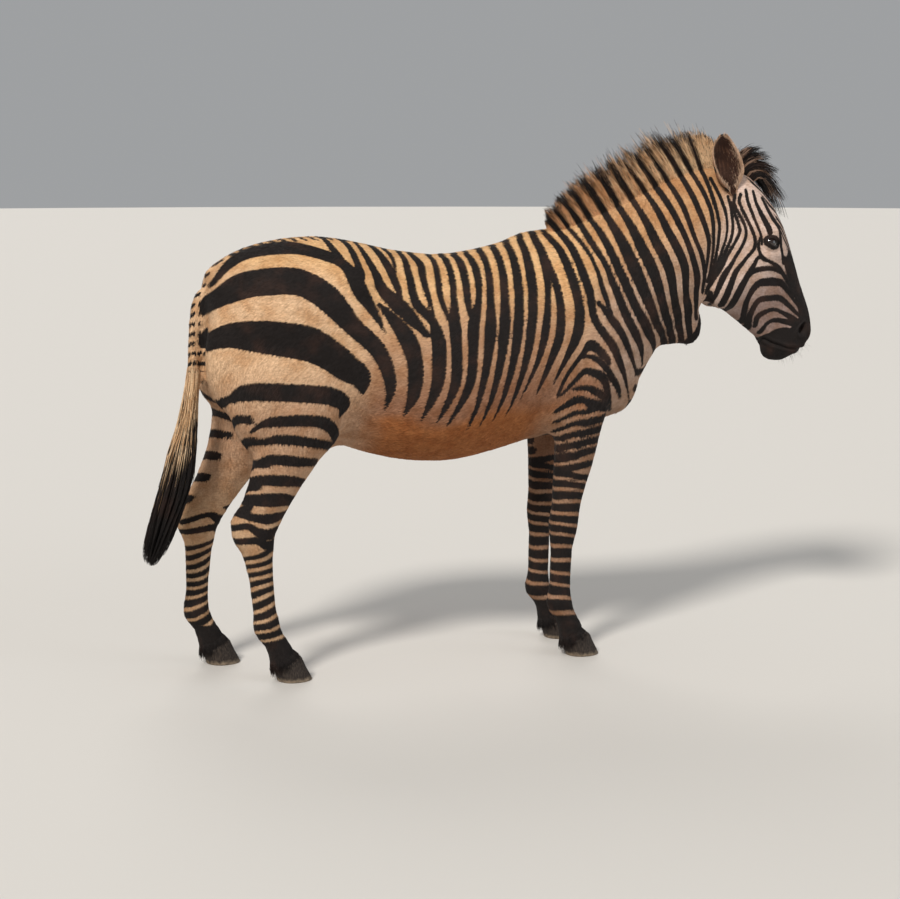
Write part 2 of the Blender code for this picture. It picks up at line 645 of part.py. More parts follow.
def name_of(part):
    """What a parted piece of the body is called, from where its middle lies."""
    corners = [Vector(c) for c in part.bound_box]
    x, y, z = sum(corners, Vector()) / 8
    side = "right" if y < 0 else "left"
    if z > LEGS_BELOW:
        if x > CUTS["head"][1][0]:
            return "head"
        if x > NECK_BEFORE:
            return "neck"
        return "trunk" if x > CUTS["hindquarters"][1][0] else "hindquarters"
    limb = "foreleg" if x > 0 else "hindleg"
    joint = CUTS["knee"][0][1] if x > 0 else CUTS["hock_right"][0][1]
    return f"{limb}_{'upper' if z > joint else 'lower'}_{side}"


def finish(obj, name, material, collection):
    obj.name = obj.data.name = name
    obj.data.materials.clear()
    obj.data.materials.append(material)
    obj.data.shade_smooth()
    obj.data.set_sharp_from_angle(angle=math.radians(SHARP_EDGE))
    for group in list(obj.users_collection):
        group.objects.unlink(obj)
    collection.objects.link(obj)


def main():
    clear_scene()
    workshop = new_collection("workshop", rendered=False)
    zebra = new_collection("zebra")
    materials = {name: new_material(name, rough) for name, rough in
                 ROUGHNESS.items()}

    body = make_body(workshop)
    for side, word in ((NEAR, "right"), (FAR, "left")):
        boolean(body, eyeball("socket", side, EYE_RADIUS + CLEARANCE, workshop), "DIFFERENCE")
        finish(eyeball("eye", side, EYE_RADIUS, workshop), f"eye_{word}", materials["eye"], zebra)

    for limb, joints in (("fore", FORE_JOINTS), ("hind", HIND_JOINTS)):
        for side, word in ((NEAR, "right"), (FAR, "left")):
            name = f"hoof_{limb}_{word}"
            hoof = make_hoof(name, joints[side][4], side, workshop)
            finish(hoof, name, materials["hoof"], zebra)
            boolean(body, under_coronet(joints[side][4], side, workshop), "DIFFERENCE")

    whole = grown(body, workshop)
    for piece in make_hair(whole, workshop):
        finish(piece, piece.name, materials["mane"], zebra)
    for side, word in ((NEAR, "right"), (FAR, "left")):
        ear = boolean(make_ear(side, f"ear_{word}", workshop), whole, "DIFFERENCE")
        finish(ear, f"ear_{word}", materials["coat"], zebra)
    dock = boolean(round_loft("tail_dock", DOCK, workshop), whole, "DIFFERENCE")
    finish(dock, "tail_dock", materials["coat"], zebra)
    tuft = round_loft("tail_tuft", TAIL_TUFT, workshop)
    tuft.data.transform(Matrix.Translation((-CLEARANCE, 0, -TUFT_DROP * CLEARANCE)))
    finish(tuft, "tail_tuft", materials["tail_hair"], zebra)

    parts = [body]
    one_sided = {"hock_right": (-SAW_REACH, 0.0), "hock_left": (0.0, SAW_REACH)}
    for name, line in CUTS.items():
        sides = one_sided.get(name, (-SAW_REACH, SAW_REACH))
        parts = sawn(parts, name, line, sides, workshop)
    for part in parts:
        finish(part, name_of(part), materials["coat"], zebra)
    for obj in list(workshop.objects):
        obj.hide_render, obj.display_type = True, "WIRE"


main()
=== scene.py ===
# %% [markdown]
# # A mountain zebra, life size
# The animal is one living skin stretched over muscle and bone, with a short coat that lies flat,
# a stiff mane and a tail brush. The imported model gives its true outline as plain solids.
# Here they get the looks: one smooth skin, real eyes, lids and nostrils, painted stripes that
# follow the body, and a coat of small solid tufts. Everything is placed from the frame's own nodes.

# %% Load the frame
import json
import math

import bmesh
import bpy
import numpy as np
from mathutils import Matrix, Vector
from mathutils.bvhtree import BVHTree

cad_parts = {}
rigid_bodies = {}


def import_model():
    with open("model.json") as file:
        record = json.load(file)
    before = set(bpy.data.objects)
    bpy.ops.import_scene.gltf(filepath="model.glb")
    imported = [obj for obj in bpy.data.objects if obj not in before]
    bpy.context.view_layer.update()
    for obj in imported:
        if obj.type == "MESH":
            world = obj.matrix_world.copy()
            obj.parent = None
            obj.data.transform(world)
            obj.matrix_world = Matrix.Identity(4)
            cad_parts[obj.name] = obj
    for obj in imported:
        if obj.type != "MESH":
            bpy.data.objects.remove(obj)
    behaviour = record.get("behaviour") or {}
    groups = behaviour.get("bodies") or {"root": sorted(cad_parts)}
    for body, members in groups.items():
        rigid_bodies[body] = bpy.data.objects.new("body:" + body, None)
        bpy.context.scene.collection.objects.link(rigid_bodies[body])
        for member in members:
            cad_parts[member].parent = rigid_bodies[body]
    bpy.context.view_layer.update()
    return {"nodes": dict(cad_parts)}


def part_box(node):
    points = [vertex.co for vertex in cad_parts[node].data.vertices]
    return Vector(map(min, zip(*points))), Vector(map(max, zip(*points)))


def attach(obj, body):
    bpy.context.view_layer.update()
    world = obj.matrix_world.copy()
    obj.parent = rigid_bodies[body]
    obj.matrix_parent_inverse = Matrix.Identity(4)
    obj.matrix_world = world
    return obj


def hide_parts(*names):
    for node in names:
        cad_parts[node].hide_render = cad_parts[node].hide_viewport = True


for leftover in list(bpy.data.objects):
    bpy.data.objects.remove(leftover)
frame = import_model()
NODES = frame["nodes"]
rng = np.random.default_rng(7)

# %% [markdown]
# ## Camera, floor and light
# The viewer stands on the right, a little behind square-on, with eyes at the height of the ears.
# A museum piece is lit plainly: a soft key from the left, a weaker fill and a pale floor. Wide
# suns were chosen over area lights because they light the whole floor evenly, with no pool in it.

# %% Camera, floor and lights
LIGHTS_AIM = Vector((0.0, 0.0, 0.8))
CAMERA_YAW = math.radians(19.0)
CAMERA_DISTANCE = 6.0
CAMERA_HEIGHT = 1.5
CAMERA_AIM_X = -0.128
CAMERA_TILT = math.radians(8.464)
LENS = 84.0                      # millimetres, over a sensor of 36
SENSOR = 36.0

camera = bpy.data.objects.new("camera", bpy.data.cameras.new("camera"))
camera.data.sensor_width = SENSOR
camera.data.lens = LENS
camera.data.clip_end = 200.0
camera.location = (
    CAMERA_AIM_X - CAMERA_DISTANCE * math.sin(CAMERA_YAW),
    -CAMERA_DISTANCE * math.cos(CAMERA_YAW),
    CAMERA_HEIGHT,
)
camera.rotation_euler = (math.pi / 2 - CAMERA_TILT, 0.0, -CAMERA_YAW)
bpy.context.scene.collection.objects.link(camera)
bpy.context.scene.camera = camera
bpy.context.scene.view_settings.view_transform = "Standard"


def soft_sun(name, place, spread, power, colour):
    """A lamp that shines the same everywhere, from place towards the animal."""
    lamp = bpy.data.lights.new(name, "SUN")
    lamp.angle = math.radians(spread)
    lamp.energy = power
    lamp.color = colour
    item = bpy.data.objects.new(name, lamp)
    item.location = place
    item.rotation_euler = (LIGHTS_AIM - Vector(place)).to_track_quat("-Z", "Y").to_euler()
    bpy.context.scene.collection.objects.link(item)


soft_sun("key", (-3.4, -3.6, 5.2), 12.0, 2.9, (1.0, 0.955, 0.89))
soft_sun("fill", (5.0, -4.2, 2.6), 40.0, 0.55, (0.92, 0.96, 1.0))
soft_sun("back", (0.5, 4.5, 4.2), 30.0, 0.8, (1.0, 0.97, 0.93))

world = bpy.data.worlds.new("studio")
world.use_nodes = True
world.node_tree.nodes["Background"].inputs["Color"].default_value = (0.86, 0.88, 0.9, 1.0)
world.node_tree.nodes["Background"].inputs["Strength"].default_value = 0.40
bpy.context.scene.world = world


def make_floor():
    mesh = bpy.data.meshes.new("studio_floor")
    shape = bmesh.new()
    bmesh.ops.create_circle(shape, cap_ends=True, segments=96, radius=40.0)
    shape.to_mesh(mesh)
    shape.free()
    floor = bpy.data.objects.new("studio_floor", mesh)
    bpy.context.scene.collection.objects.link(floor)
    paint = bpy.data.materials.new("pale_floor")
    paint.use_nodes = True
    shader = paint.node_tree.nodes["Principled BSDF"]
    shader.inputs["Base Color"].default_value = (0.62, 0.6, 0.57, 1.0)
    shader.inputs["Roughness"].default_value = 0.85
    mesh.materials.append(paint)


make_floor()
print("camera lens", round(camera.data.lens, 1), "mm")

# %% [markdown]
# ## One skin from many solids
# A zebra's hide has no joins, but the frame's flesh is sawn into named parts. The saw's inner
# faces are found by looking a millimetre ahead of each face, and set aside. A voxel remesh joins
# the solids into one even net of small quads, which is then laid back on the outer faces, so the
# saw leaves no groove. Smoothing that pushes out as much as it pulls in (Taubin's way) melts the
# facets without thinning the legs.

# %% Helpers for meshes and arrays
SIDES = {"right": -1, "left": 1}          # the sign of y on each side
FLESH = ["head", "neck", "trunk", "hindquarters", "tail_dock"]
HALVES = ("foreleg_upper", "foreleg_lower", "hindleg_upper", "hindleg_lower")
FLESH += [f"{half}_{side}" for half in HALVES for side in SIDES]


def ramp(value, low, high):
    """0 below low, 1 above high and a smooth step between. low may be above high."""
    share = np.clip((value - low) / (high - low), 0.0, 1.0)
    return share * share * (3.0 - 2.0 * share)


def unit(vectors):
    return vectors / np.maximum(np.linalg.norm(vectors, axis=-1, keepdims=True), 1e-12)


def to_left(points):
    """The points with those on the right side mirrored to the left."""
    return points * (1, 0, 1) + np.abs(points) * (0, 1, 0)


def link_object(name, mesh):
    item = bpy.data.objects.new(name, mesh)
    bpy.context.scene.collection.objects.link(item)
    return item


def mesh_from(name, points, faces):
    """A mesh from an array of points and an array of faces that all have as many corners."""
    mesh = bpy.data.meshes.new(name)
    count, corners = faces.shape
    mesh.vertices.add(len(points))
    mesh.vertices.foreach_set("co", np.ascontiguousarray(points, dtype=np.float32).ravel())
    mesh.loops.add(count * corners)
    mesh.loops.foreach_set("vertex_index", np.ascontiguousarray(faces, dtype=np.int32).ravel())
    mesh.polygons.add(count)
    mesh.polygons.foreach_set("loop_start", np.arange(0, count * corners, corners, dtype=np.int32))
    mesh.update(calc_edges=True)
    return mesh


def read_rows(source, key):
    """Three numbers of every item of a mesh collection."""
    rows = np.empty(len(source) * 3, dtype=np.float32)
    source.foreach_get(key, rows)
    return rows.reshape(-1, 3).astype(float)


def read_points(mesh):
    return read_rows(mesh.vertices, "co")


def read_normals(mesh):
    return read_rows(mesh.vertex_normals, "vector")


def triangles_of(mesh):
    """The corners of every triangle of a mesh, as an array of triangles by 3."""
    mesh.calc_loop_triangles()
    corners = np.empty(len(mesh.loop_triangles) * 3, dtype=np.int32)
    mesh.loop_triangles.foreach_get("vertices", corners)
    return corners.reshape(-1, 3)


def write_points(mesh, points):
    mesh.vertices.foreach_set("co", np.ascontiguousarray(points, dtype=np.float32).ravel())
    mesh.update()


def relax(mesh, rounds, share=None):
    """Taubin smoothing: a pull towards the neighbours, then a slightly stronger push back."""
    points = read_points(mesh)
    edges = np.empty(len(mesh.edges) * 2, dtype=np.int32)
    mesh.edges.foreach_get("vertices", edges)
    first, second = edges.reshape(-1, 2).T
    count = len(points)
    degree = np.maximum(np.bincount(edges, minlength=count), 1)[:, None]
    for factor in (0.5, -0.52) * rounds:
        total = np.stack(
            [
                np.bincount(first, points[second, k], count) + np.bincount(second, points[first, k], count)
                for k in range(3)
            ],
            axis=1,
        )
        step = factor * (total / degree - points)
        points += step if share is None else step * share[:, None]
    write_points(mesh, points)


# %% Join the flesh and remesh it
SKIN_VOXEL = 0.0103
SAW_REACH = 0.0015       # how far ahead an inner face looks for its twin


def flesh_solids():
    """All flesh, with the eyes to fill their sockets, as points, triangles and each one's owner."""
    points, faces, owners = [], [], []
    for owner, name in enumerate(FLESH + ["eye_right", "eye_left"]):
        mesh = NODES[name].data
        start = len(points)
        points += [v.co.copy() for v in mesh.vertices]
        mesh.calc_loop_triangles()
        for triangle in mesh.loop_triangles:
            faces.append([start + i for i in triangle.vertices])
            owners.append(owner if owner < len(FLESH) else FLESH.index("head"))
    return points, faces, owners


def outer_faces(points, faces, owners):
    """The faces that no other solid's face looks at from close by: the hide itself."""
    tree = BVHTree.FromPolygons(points, faces)
    kept, kept_owners = [], []
    for face, owner in zip(faces, owners):
        a, b, c = (points[i] for i in face)
        normal = (b - a).cross(c - a).normalized()
        centre = (a + b + c) / 3.0
        _, facing, _, _ = tree.ray_cast(centre + normal * 2e-5, normal, SAW_REACH)
        if facing is None or facing.dot(normal) > -0.8:
            kept.append(face)
            kept_owners.append(owner)
    return BVHTree.FromPolygons(points, kept), np.array(kept_owners)


def remeshed(mesh, voxel):
    item = link_object("remesh_source", mesh)
    cell = item.modifiers.new("voxels", "REMESH")
    cell.mode = "VOXEL"
    cell.voxel_size = voxel
    graph = bpy.context.evaluated_depsgraph_get()
    result = bpy.data.meshes.new_from_object(item.evaluated_get(graph))
    bpy.data.objects.remove(item)
    return result


solid_points, solid_faces, solid_owners = flesh_solids()
shell_tree, shell_owner = outer_faces(solid_points, solid_faces, solid_owners)
solids = bpy.data.meshes.new("flesh_solids")
solids.from_pydata(solid_points, [], solid_faces)
skin_mesh = remeshed(solids, SKIN_VOXEL)
write_points(skin_mesh, np.array([shell_tree.find_nearest(Vector(p))[0] for p in read_points(skin_mesh)]))
relax(skin_mesh, 14)
print("skin net", len(skin_mesh.vertices), "points,", len(skin_mesh.polygons), "quads")

# %% [markdown]
# ## Finer net where the eye rests
# A net of ten millimetres carries a barrel well, but a lid is two millimetres thick. The head and
# lower legs are split once, round eyes and lips once more, and close to eyes and nostrils a third
# time. Splitting only those keeps the whole skin light, where one fine net would be far heavier.

# %% Refine the head and legs
EYE_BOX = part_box("eye_left")
EYE_MIDDLE = (Vector(EYE_BOX[0]) + Vector(EYE_BOX[1])) / 2
EYE_RADIUS = (EYE_BOX[1][0] - EYE_BOX[0][0]) / 2
EYE_DEPTH = 0.078                 # the eyeball's centre is this far from the midline
NOSTRIL = np.array((0.977, 0.050, 0.929))


def eye_centre(sign):
    return np.array((EYE_MIDDLE.x, sign * EYE_DEPTH, EYE_MIDDLE.z))


def eye_distance(points):
    return np.linalg.norm(to_left(points) - eye_centre(1), axis=1)


def nostril_distance(points):
    return np.linalg.norm(to_left(points) - NOSTRIL, axis=1)


def owner_of(points):
    """The name of the flesh node nearest to each point."""
    return np.array([FLESH[shell_owner[shell_tree.find_nearest(Vector(p))[2]]] for p in points])


def split_faces(mesh, wanted):
    """Split every face whose middle passes the test, once along each edge."""
    shape = bmesh.new()
    shape.from_mesh(mesh)
    shape.faces.ensure_lookup_table()
    middles = np.array([face.calc_center_median() for face in shape.faces])
    chosen = wanted(middles)
    edges = {edge for face, take in zip(shape.faces, chosen) if take for edge in face.edges}
    bmesh.ops.subdivide_edges(shape, edges=list(edges), cuts=1, use_grid_fill=True)
    shape.to_mesh(mesh)
    shape.free()
    mesh.update()


def on_head_or_shin(points):
    names = owner_of(points)
    low = np.char.find(names, "leg") >= 0
    return (names == "head") | (names == "neck") & (points[:, 0] > 0.57) | (low & (points[:, 2] < 0.46))


def near_face_details(points):
    near_eye = eye_distance(points) < 0.046
    near_mouth = (points[:, 0] - 0.35 * (points[:, 2] - 0.9) > 0.835) & (points[:, 2] < 0.965)
    return near_eye | near_mouth


def near_openings(points):
    return (eye_distance(points) < 0.028) | (nostril_distance(points) < 0.023)


split_faces(skin_mesh, on_head_or_shin)
skin_points = read_points(skin_mesh)
fine = np.char.find(owner_of(skin_points), "head") >= 0
relax(skin_mesh, 3, share=np.where(fine, 1.0, 0.6))
split_faces(skin_mesh, near_face_details)
relax(skin_mesh, 2)
split_faces(skin_mesh, near_openings)
relax(skin_mesh, 1)
print("eyeball radius", round(EYE_RADIUS, 4), "skin", len(skin_mesh.vertices), "points")

# %% [markdown]
# ## Muscle, bone and folds
# Under a short coat the skin shows what lies beneath it: the blade of the shoulder, the point of
# the hip, tendons, the crest of the cheek. Each is a soft ridge or groove along a line, so one
# helper moves points along their normals with a bell-shaped falloff from that line. Doing it
# before the coat is laid lets fur, stripes and light all follow the same relief.

# %% Sculpt ridges and grooves
def from_line(points, start, end):
    """Distance of each point from the line between two ends."""
    start, end = np.array(start), np.array(end)
    along = np.clip((points - start) @ (end - start) / ((end - start) @ (end - start)), 0.0, 1.0)
    return np.linalg.norm(points - (start + along[:, None] * (end - start)), axis=1)


def raise_lines(mesh, lines):
    """Each line is (start, end, reach, height), given on the left side and mirrored."""
    points = read_points(mesh)
    normals = read_normals(mesh)
    folded = to_left(points)
    for start, end, reach, height in lines:
        away = from_line(folded, start, end)
        points += normals * (height * np.exp(-((away / reach) ** 2)))[:, None]
    write_points(mesh, points)


BODY_RELIEF = (
    ((0.170, 0.085, 1.180), (0.330, 0.150, 0.930), 0.030, 0.0050),   # spine of the shoulder blade
    ((0.120, 0.120, 1.120), (0.250, 0.175, 0.900), 0.035, -0.0035),  # hollow behind it
    ((0.330, 0.150, 0.930), (0.250, 0.165, 0.800), 0.040, 0.0050),   # upper arm
    ((0.115, 0.170, 0.860), (0.175, 0.150, 0.730), 0.022, -0.0070),  # crease behind the elbow
    ((0.165, 0.140, 0.720), (0.190, 0.140, 0.690), 0.022, 0.0060),   # point of the elbow
    ((0.240, 0.110, 0.650), (0.235, 0.150, 0.560), 0.030, 0.0035),   # forearm muscle
    ((-0.470, 0.130, 1.150), (-0.480, 0.160, 1.120), 0.032, 0.0060),  # point of the hip
    ((-0.430, 0.150, 1.060), (-0.400, 0.170, 0.980), 0.045, -0.0070),  # hollow of the flank
    ((-0.460, 0.190, 0.830), (-0.430, 0.190, 0.730), 0.024, 0.0060),  # fold of the flank
    ((-0.510, 0.185, 0.800), (-0.480, 0.190, 0.700), 0.020, -0.0055),  # groove behind that fold
    ((-0.540, 0.170, 0.760), (-0.560, 0.175, 0.720), 0.035, 0.0055),  # stifle
    ((-0.790, 0.120, 1.010), (-0.740, 0.150, 0.800), 0.022, -0.0045),  # groove of the buttock
    ((-0.640, 0.180, 1.020), (-0.580, 0.200, 0.860), 0.045, 0.0035),  # thigh
    ((0.300, 0.100, 1.080), (0.520, 0.060, 1.230), 0.026, -0.0040),  # groove along the neck
    ((0.420, 0.110, 0.920), (0.640, 0.070, 1.060), 0.022, -0.0050),  # jugular groove
    ((0.560, 0.050, 0.930), (0.600, 0.050, 1.000), 0.012, -0.0030),  # fold of the dewlap
    ((0.520, 0.050, 0.900), (0.560, 0.055, 0.980), 0.012, -0.0030),  # second fold
)
LEG_RELIEF = (
    ((0.205, 0.150, 0.390), (0.225, 0.152, 0.180), 0.007, -0.0025),  # tendon groove, fore cannon
    ((0.240, 0.112, 0.445), (0.245, 0.112, 0.405), 0.016, 0.0025),   # front of the knee
    ((-0.790, 0.150, 0.360), (-0.760, 0.150, 0.170), 0.007, -0.0025),  # tendon groove, hind cannon
)
HEAD_RELIEF = (
    ((0.858, 0.080, 1.128), (0.905, 0.066, 1.060), 0.010, 0.0032),   # crest of the cheek
    ((0.865, 0.078, 1.095), (0.920, 0.060, 1.010), 0.016, -0.0035),  # hollow under it
    ((0.700, 0.070, 1.120), (0.740, 0.078, 1.010), 0.016, 0.0030),   # edge of the jaw muscle
    ((0.760, 0.075, 1.060), (0.800, 0.075, 1.010), 0.040, 0.0025),   # jaw muscle
    ((0.820, 0.060, 0.985), (0.870, 0.050, 0.930), 0.010, -0.0030),  # groove ahead of it
    ((0.800, 0.070, 1.262), (0.822, 0.072, 1.240), 0.016, -0.0055),  # hollow over the eye
    ((0.830, 0.082, 1.232), (0.862, 0.080, 1.224), 0.010, 0.0040),   # brow
    ((0.940, 0.026, 1.090), (0.985, 0.026, 0.990), 0.010, 0.0020),   # edge of the nose bone
    ((0.945, 0.048, 1.020), (0.965, 0.048, 0.975), 0.012, -0.0030),  # hollow above the nostril
    ((0.838, 0.092, 1.150), (0.872, 0.086, 1.155), 0.016, 0.0050),   # pad under the lower lid
    ((1.006, 0.040, 0.945), (1.000, 0.046, 0.915), 0.014, -0.0085),  # hollow before the nostril
    ((1.012, 0.000, 0.900), (1.004, 0.000, 0.875), 0.006, -0.0022),  # groove down the upper lip
    ((0.930, 0.046, 0.868), (0.890, 0.044, 0.874), 0.010, 0.0028),   # lip over the mouth
    ((0.935, 0.000, 0.842), (0.925, 0.015, 0.842), 0.016, 0.0035),   # chin
)
for relief in (BODY_RELIEF, LEG_RELIEF, HEAD_RELIEF):
    raise_lines(skin_mesh, relief)
    print(len(relief), "lines of relief")

# %% [markdown]
# ## Lay the skin under the coat
# The solids reach to the tips of the coat, so the skin goes in by the coat's depth: a few
# millimetres on the barrel, one on the face and shins. Each point moves in along its own normal,
# which keeps the net as it is. The lower ends of the legs are pushed down into the hoofs, where
# no gap can show.

# %% Inset by the depth of the coat
BODY_COAT = 0.0032
SHORT_COAT = 0.0014
HOOF_TOP = 0.072


def inset_skin(mesh):
    points = read_points(mesh)
    names = owner_of(points)
    short = np.maximum(
        (names == "head") * 1.0,
        (np.char.find(names, "leg") >= 0) * ramp(points[:, 2], 0.75, 0.45),
    )
    depth = BODY_COAT + (SHORT_COAT - BODY_COAT) * short
    points -= read_normals(mesh) * depth[:, None]
    leg_end = ramp(points[:, 2], HOOF_TOP + 0.030, HOOF_TOP - 0.004)
    points[:, 2] -= leg_end * 0.016
    write_points(mesh, points)


inset_skin(skin_mesh)
print("coat depth", BODY_COAT, "on the body,", SHORT_COAT, "on face and shins")

# %% [markdown]
# ## Room for the ears
# An ear is a leaf rolled into a funnel, and the skin of the head goes down inside it. Its shape is
# said once here, as an axis, a width and a roll for each height, because three things need it: the
# pit in the skin, the painted shade in that pit and the ear itself. The skin inside the funnel is lowered
# step by step for as long as it stays within the funnel's wall, so no gap opens round the root.

# %% Lower the skin inside the ears
EAR_BASE = np.array((0.735, 0.052, 1.325))
EAR_TIP = np.array((0.684, 0.078, 1.506))
EAR_LENGTH = float(np.linalg.norm(EAR_TIP - EAR_BASE))
EAR_HALF_WIDTH = 0.066
EAR_ROOT_SHARE = 0.34        # the root is this narrow, against the leaf's own outline
EAR_FLOOR = 0.06             # the bottom of the hollow, as a share of the ear's height
LOWERING = 0.0010


def ear_axes(sign):
    """Unit vectors up the ear, out of its opening and across it."""
    along = unit((EAR_TIP - EAR_BASE) * (1, sign, 1))
    opening = np.array((0.10, sign, 0.10))
    opening = unit(opening - along * (opening @ along))
    return along, opening, np.cross(along, opening)


def ear_outline(v):
    """Half width of the leaf laid flat and the roll of each half, at shares of the height."""
    leaf = EAR_HALF_WIDTH * np.sin(math.pi * np.minimum(1.0, 0.20 + 0.80 * v)) ** 0.62 + 0.003
    narrow = EAR_ROOT_SHARE + (1 - EAR_ROOT_SHARE) * ramp(v, 0.0, 0.40)
    return leaf * narrow, 2.35 - 1.45 * v ** 0.6


def ear_place(points):
    """Height up the ear as a share, and how far off its middle, for points folded to the left."""
    folded = to_left(points) - EAR_BASE
    along, opening, across = ear_axes(1)
    return folded @ along / EAR_LENGTH, folded @ opening, folded @ across


def in_funnel(v, out, beside):
    """True inside the funnel at this height."""
    leaf, roll = ear_outline(np.clip(v, 0.0, 1.0))
    radius = leaf / roll
    return (v > 0.0) & (v < 0.75) & (np.hypot(beside, out - 0.4 * radius) < radius)


def open_ears(mesh):
    points = read_points(mesh)
    v, out, beside = ear_place(points)
    start = v.copy()
    for _ in range(100):
        lower = v - LOWERING / EAR_LENGTH
        sinks = in_funnel(v, out, beside) & in_funnel(lower, out, beside) & (lower > EAR_FLOOR)
        v = np.where(sinks, lower, v)
    drop = (start - v) * EAR_LENGTH
    up = np.where(points[:, 1:2] < 0, ear_axes(-1)[0], ear_axes(1)[0])
    write_points(mesh, points - up * drop[:, None])
    print("deepest pit under an ear", round(float(drop.max()), 3))


open_ears(skin_mesh)

# %% [markdown]
# ## Lids, nostrils and mouth
# The eyeball is a real ball of its true size, sunk so that the lids cover most of it. The skin is
# draped over it: outside an almond it is held just proud of the ball, and inside the almond it
# dives behind it, which leaves a clean opening of the right depth. A boolean cut would leave a
# paper edge there. Nostrils are pits with a raised rim, and the mouth is a fine closed crease.

# %% Drape the lids and press in the nostrils and mouth
LID = 0.0020
LID_SWELL = 0.0070           # how softly the lids rise from the face
ALMOND_HALF = 0.0205
UPPER_LID = 0.0125
LOWER_LID = 0.0092


def eye_axes(sign):
    """Outward, along the slit towards the nose, and up, for the eye on one side."""
    outward = unit(np.array((0.22, sign * 0.96, 0.10)))
    along = np.array((0.94, 0.0, -0.30))
    along = unit(along - outward * (along @ outward))
    return outward, along, np.cross(outward, along) * -sign


def almond_edge(share):
    """Heights of the upper and lower lid edges at a share, -1 to 1, of the half slit."""
    closing = np.clip(1.0 - np.abs(share) ** 2.2, 0.0, 1.0)
    tilt = 0.0016 * share
    return UPPER_LID * closing ** 0.75 - tilt, -LOWER_LID * closing ** 0.9 - tilt


def drape_lids(points):
    for sign in (-1, 1):
        outward, along, up = eye_axes(sign)
        offset = points - eye_centre(sign)
        distance = np.maximum(np.linalg.norm(offset, axis=1), 1e-6)
        ahead = offset @ outward
        near = (distance < 0.052) & (ahead > 0.0)
        ball = EYE_RADIUS + LID
        onto = np.maximum(ball / distance, 1.0)
        a, b = offset @ along * onto, offset @ up * onto
        share = a / ALMOND_HALF
        top, bottom = almond_edge(share)
        inside = np.minimum(np.minimum(top - b, b - bottom), (1.0 - np.abs(share)) * ALMOND_HALF)
        open_share = ramp(inside, -0.0006, 0.0012)
        crease = 0.0016 * np.exp(-(((b - top - 0.0065) / 0.0016) ** 2)) * (np.abs(share) < 1.15)
        crease += 0.0010 * np.exp(-(((bottom - b - 0.0060) / 0.0016) ** 2)) * (np.abs(share) < 1.0)
        draped = (distance + ball + np.sqrt((distance - ball) ** 2 + LID_SWELL ** 2)) / 2 - crease
        sunk = np.minimum(distance, EYE_RADIUS - 0.004)
        wanted = draped + (sunk - draped) * open_share
        reach = near * ramp(ahead, 0.0, 0.008)
        points += offset / distance[:, None] * ((wanted - distance) * reach)[:, None]
    return points


NOSTRIL_LONG = 0.0185        # half lengths of the pit's oval
NOSTRIL_WIDE = 0.0098
NOSTRIL_LEAN = 0.16          # how much narrower the oval grows upwards
NOSTRIL_DEPTH = 0.0170
NOSTRIL_RIM = 0.0034


def press_nostrils(points, normals):
    """A comma-shaped pit on each side: an oval that leans, with a raised rim."""
    folded = to_left(points)
    long_axis = unit(np.array((0.40, 0.12, 0.91)))
    offset = folded - NOSTRIL
    lengthwise = offset @ long_axis
    across = np.linalg.norm(offset - lengthwise[:, None] * long_axis, axis=1)
    wide = NOSTRIL_WIDE - NOSTRIL_LEAN * lengthwise
    oval = np.sqrt((lengthwise / NOSTRIL_LONG) ** 2 + (across / wide) ** 2)
    pit = -NOSTRIL_DEPTH * np.exp(-(oval ** 4))
    rim = NOSTRIL_RIM * np.exp(-(((oval - 1.45) / 0.30) ** 2))
    return points + normals * (pit + rim)[:, None]


MOUTH_X = (0.845, 0.885, 0.930, 0.975)
MOUTH_Z = (0.910, 0.886, 0.870, 0.866)
MOUTH_DEPTH = 0.0058
MOUTH_HALF_WIDTH = 0.0034
LIP_SWELL = 0.0022           # how far the lips rise beside the crease
LIP_PLACE = 0.0095           # and how far from it


def mouth_distance(points):
    """How far a point is from the line where the lips meet, as seen from the side."""
    x, _, z = points.T
    corner = 0.03 * ramp(x, 0.862, 0.845) + 0.2 * (x < 0.83)
    return np.abs(z - np.interp(x, MOUTH_X, MOUTH_Z)) * 0.95 + corner


def press_mouth(points, normals):
    away = mouth_distance(points)
    crease = MOUTH_DEPTH * np.exp(-((away / MOUTH_HALF_WIDTH) ** 2))
    swell = LIP_SWELL * np.exp(-(((away - LIP_PLACE) / 0.005) ** 2))
    return points - normals * (crease - swell)[:, None]


face_points = read_points(skin_mesh)
face_points = press_nostrils(face_points, read_normals(skin_mesh))
face_points = press_mouth(face_points, read_normals(skin_mesh))
write_points(skin_mesh, drape_lids(face_points))
skin_mesh.shade_smooth()
skin = link_object("skin", skin_mesh)
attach(skin, "root")
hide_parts(*FLESH)
skin_mesh.calc_loop_triangles()
print("skin", len(skin_mesh.loop_triangles), "triangles")

# %% [markdown]
# ## Stripes as lines on the side of the animal
# A stripe is a soft band that swells and tapers, forks and joins. Painting an image would pin it
# to one view, and a wave texture never forks. So each stripe is a short line in the side view, as
# (x, z, width) in centimetres, smoothed into a curve. Where stripes march evenly, only the first
# and last are given and those between are worked out. The darkness of a point is its depth inside
# the nearest stripe, so the same number colours skin, coat and mane.

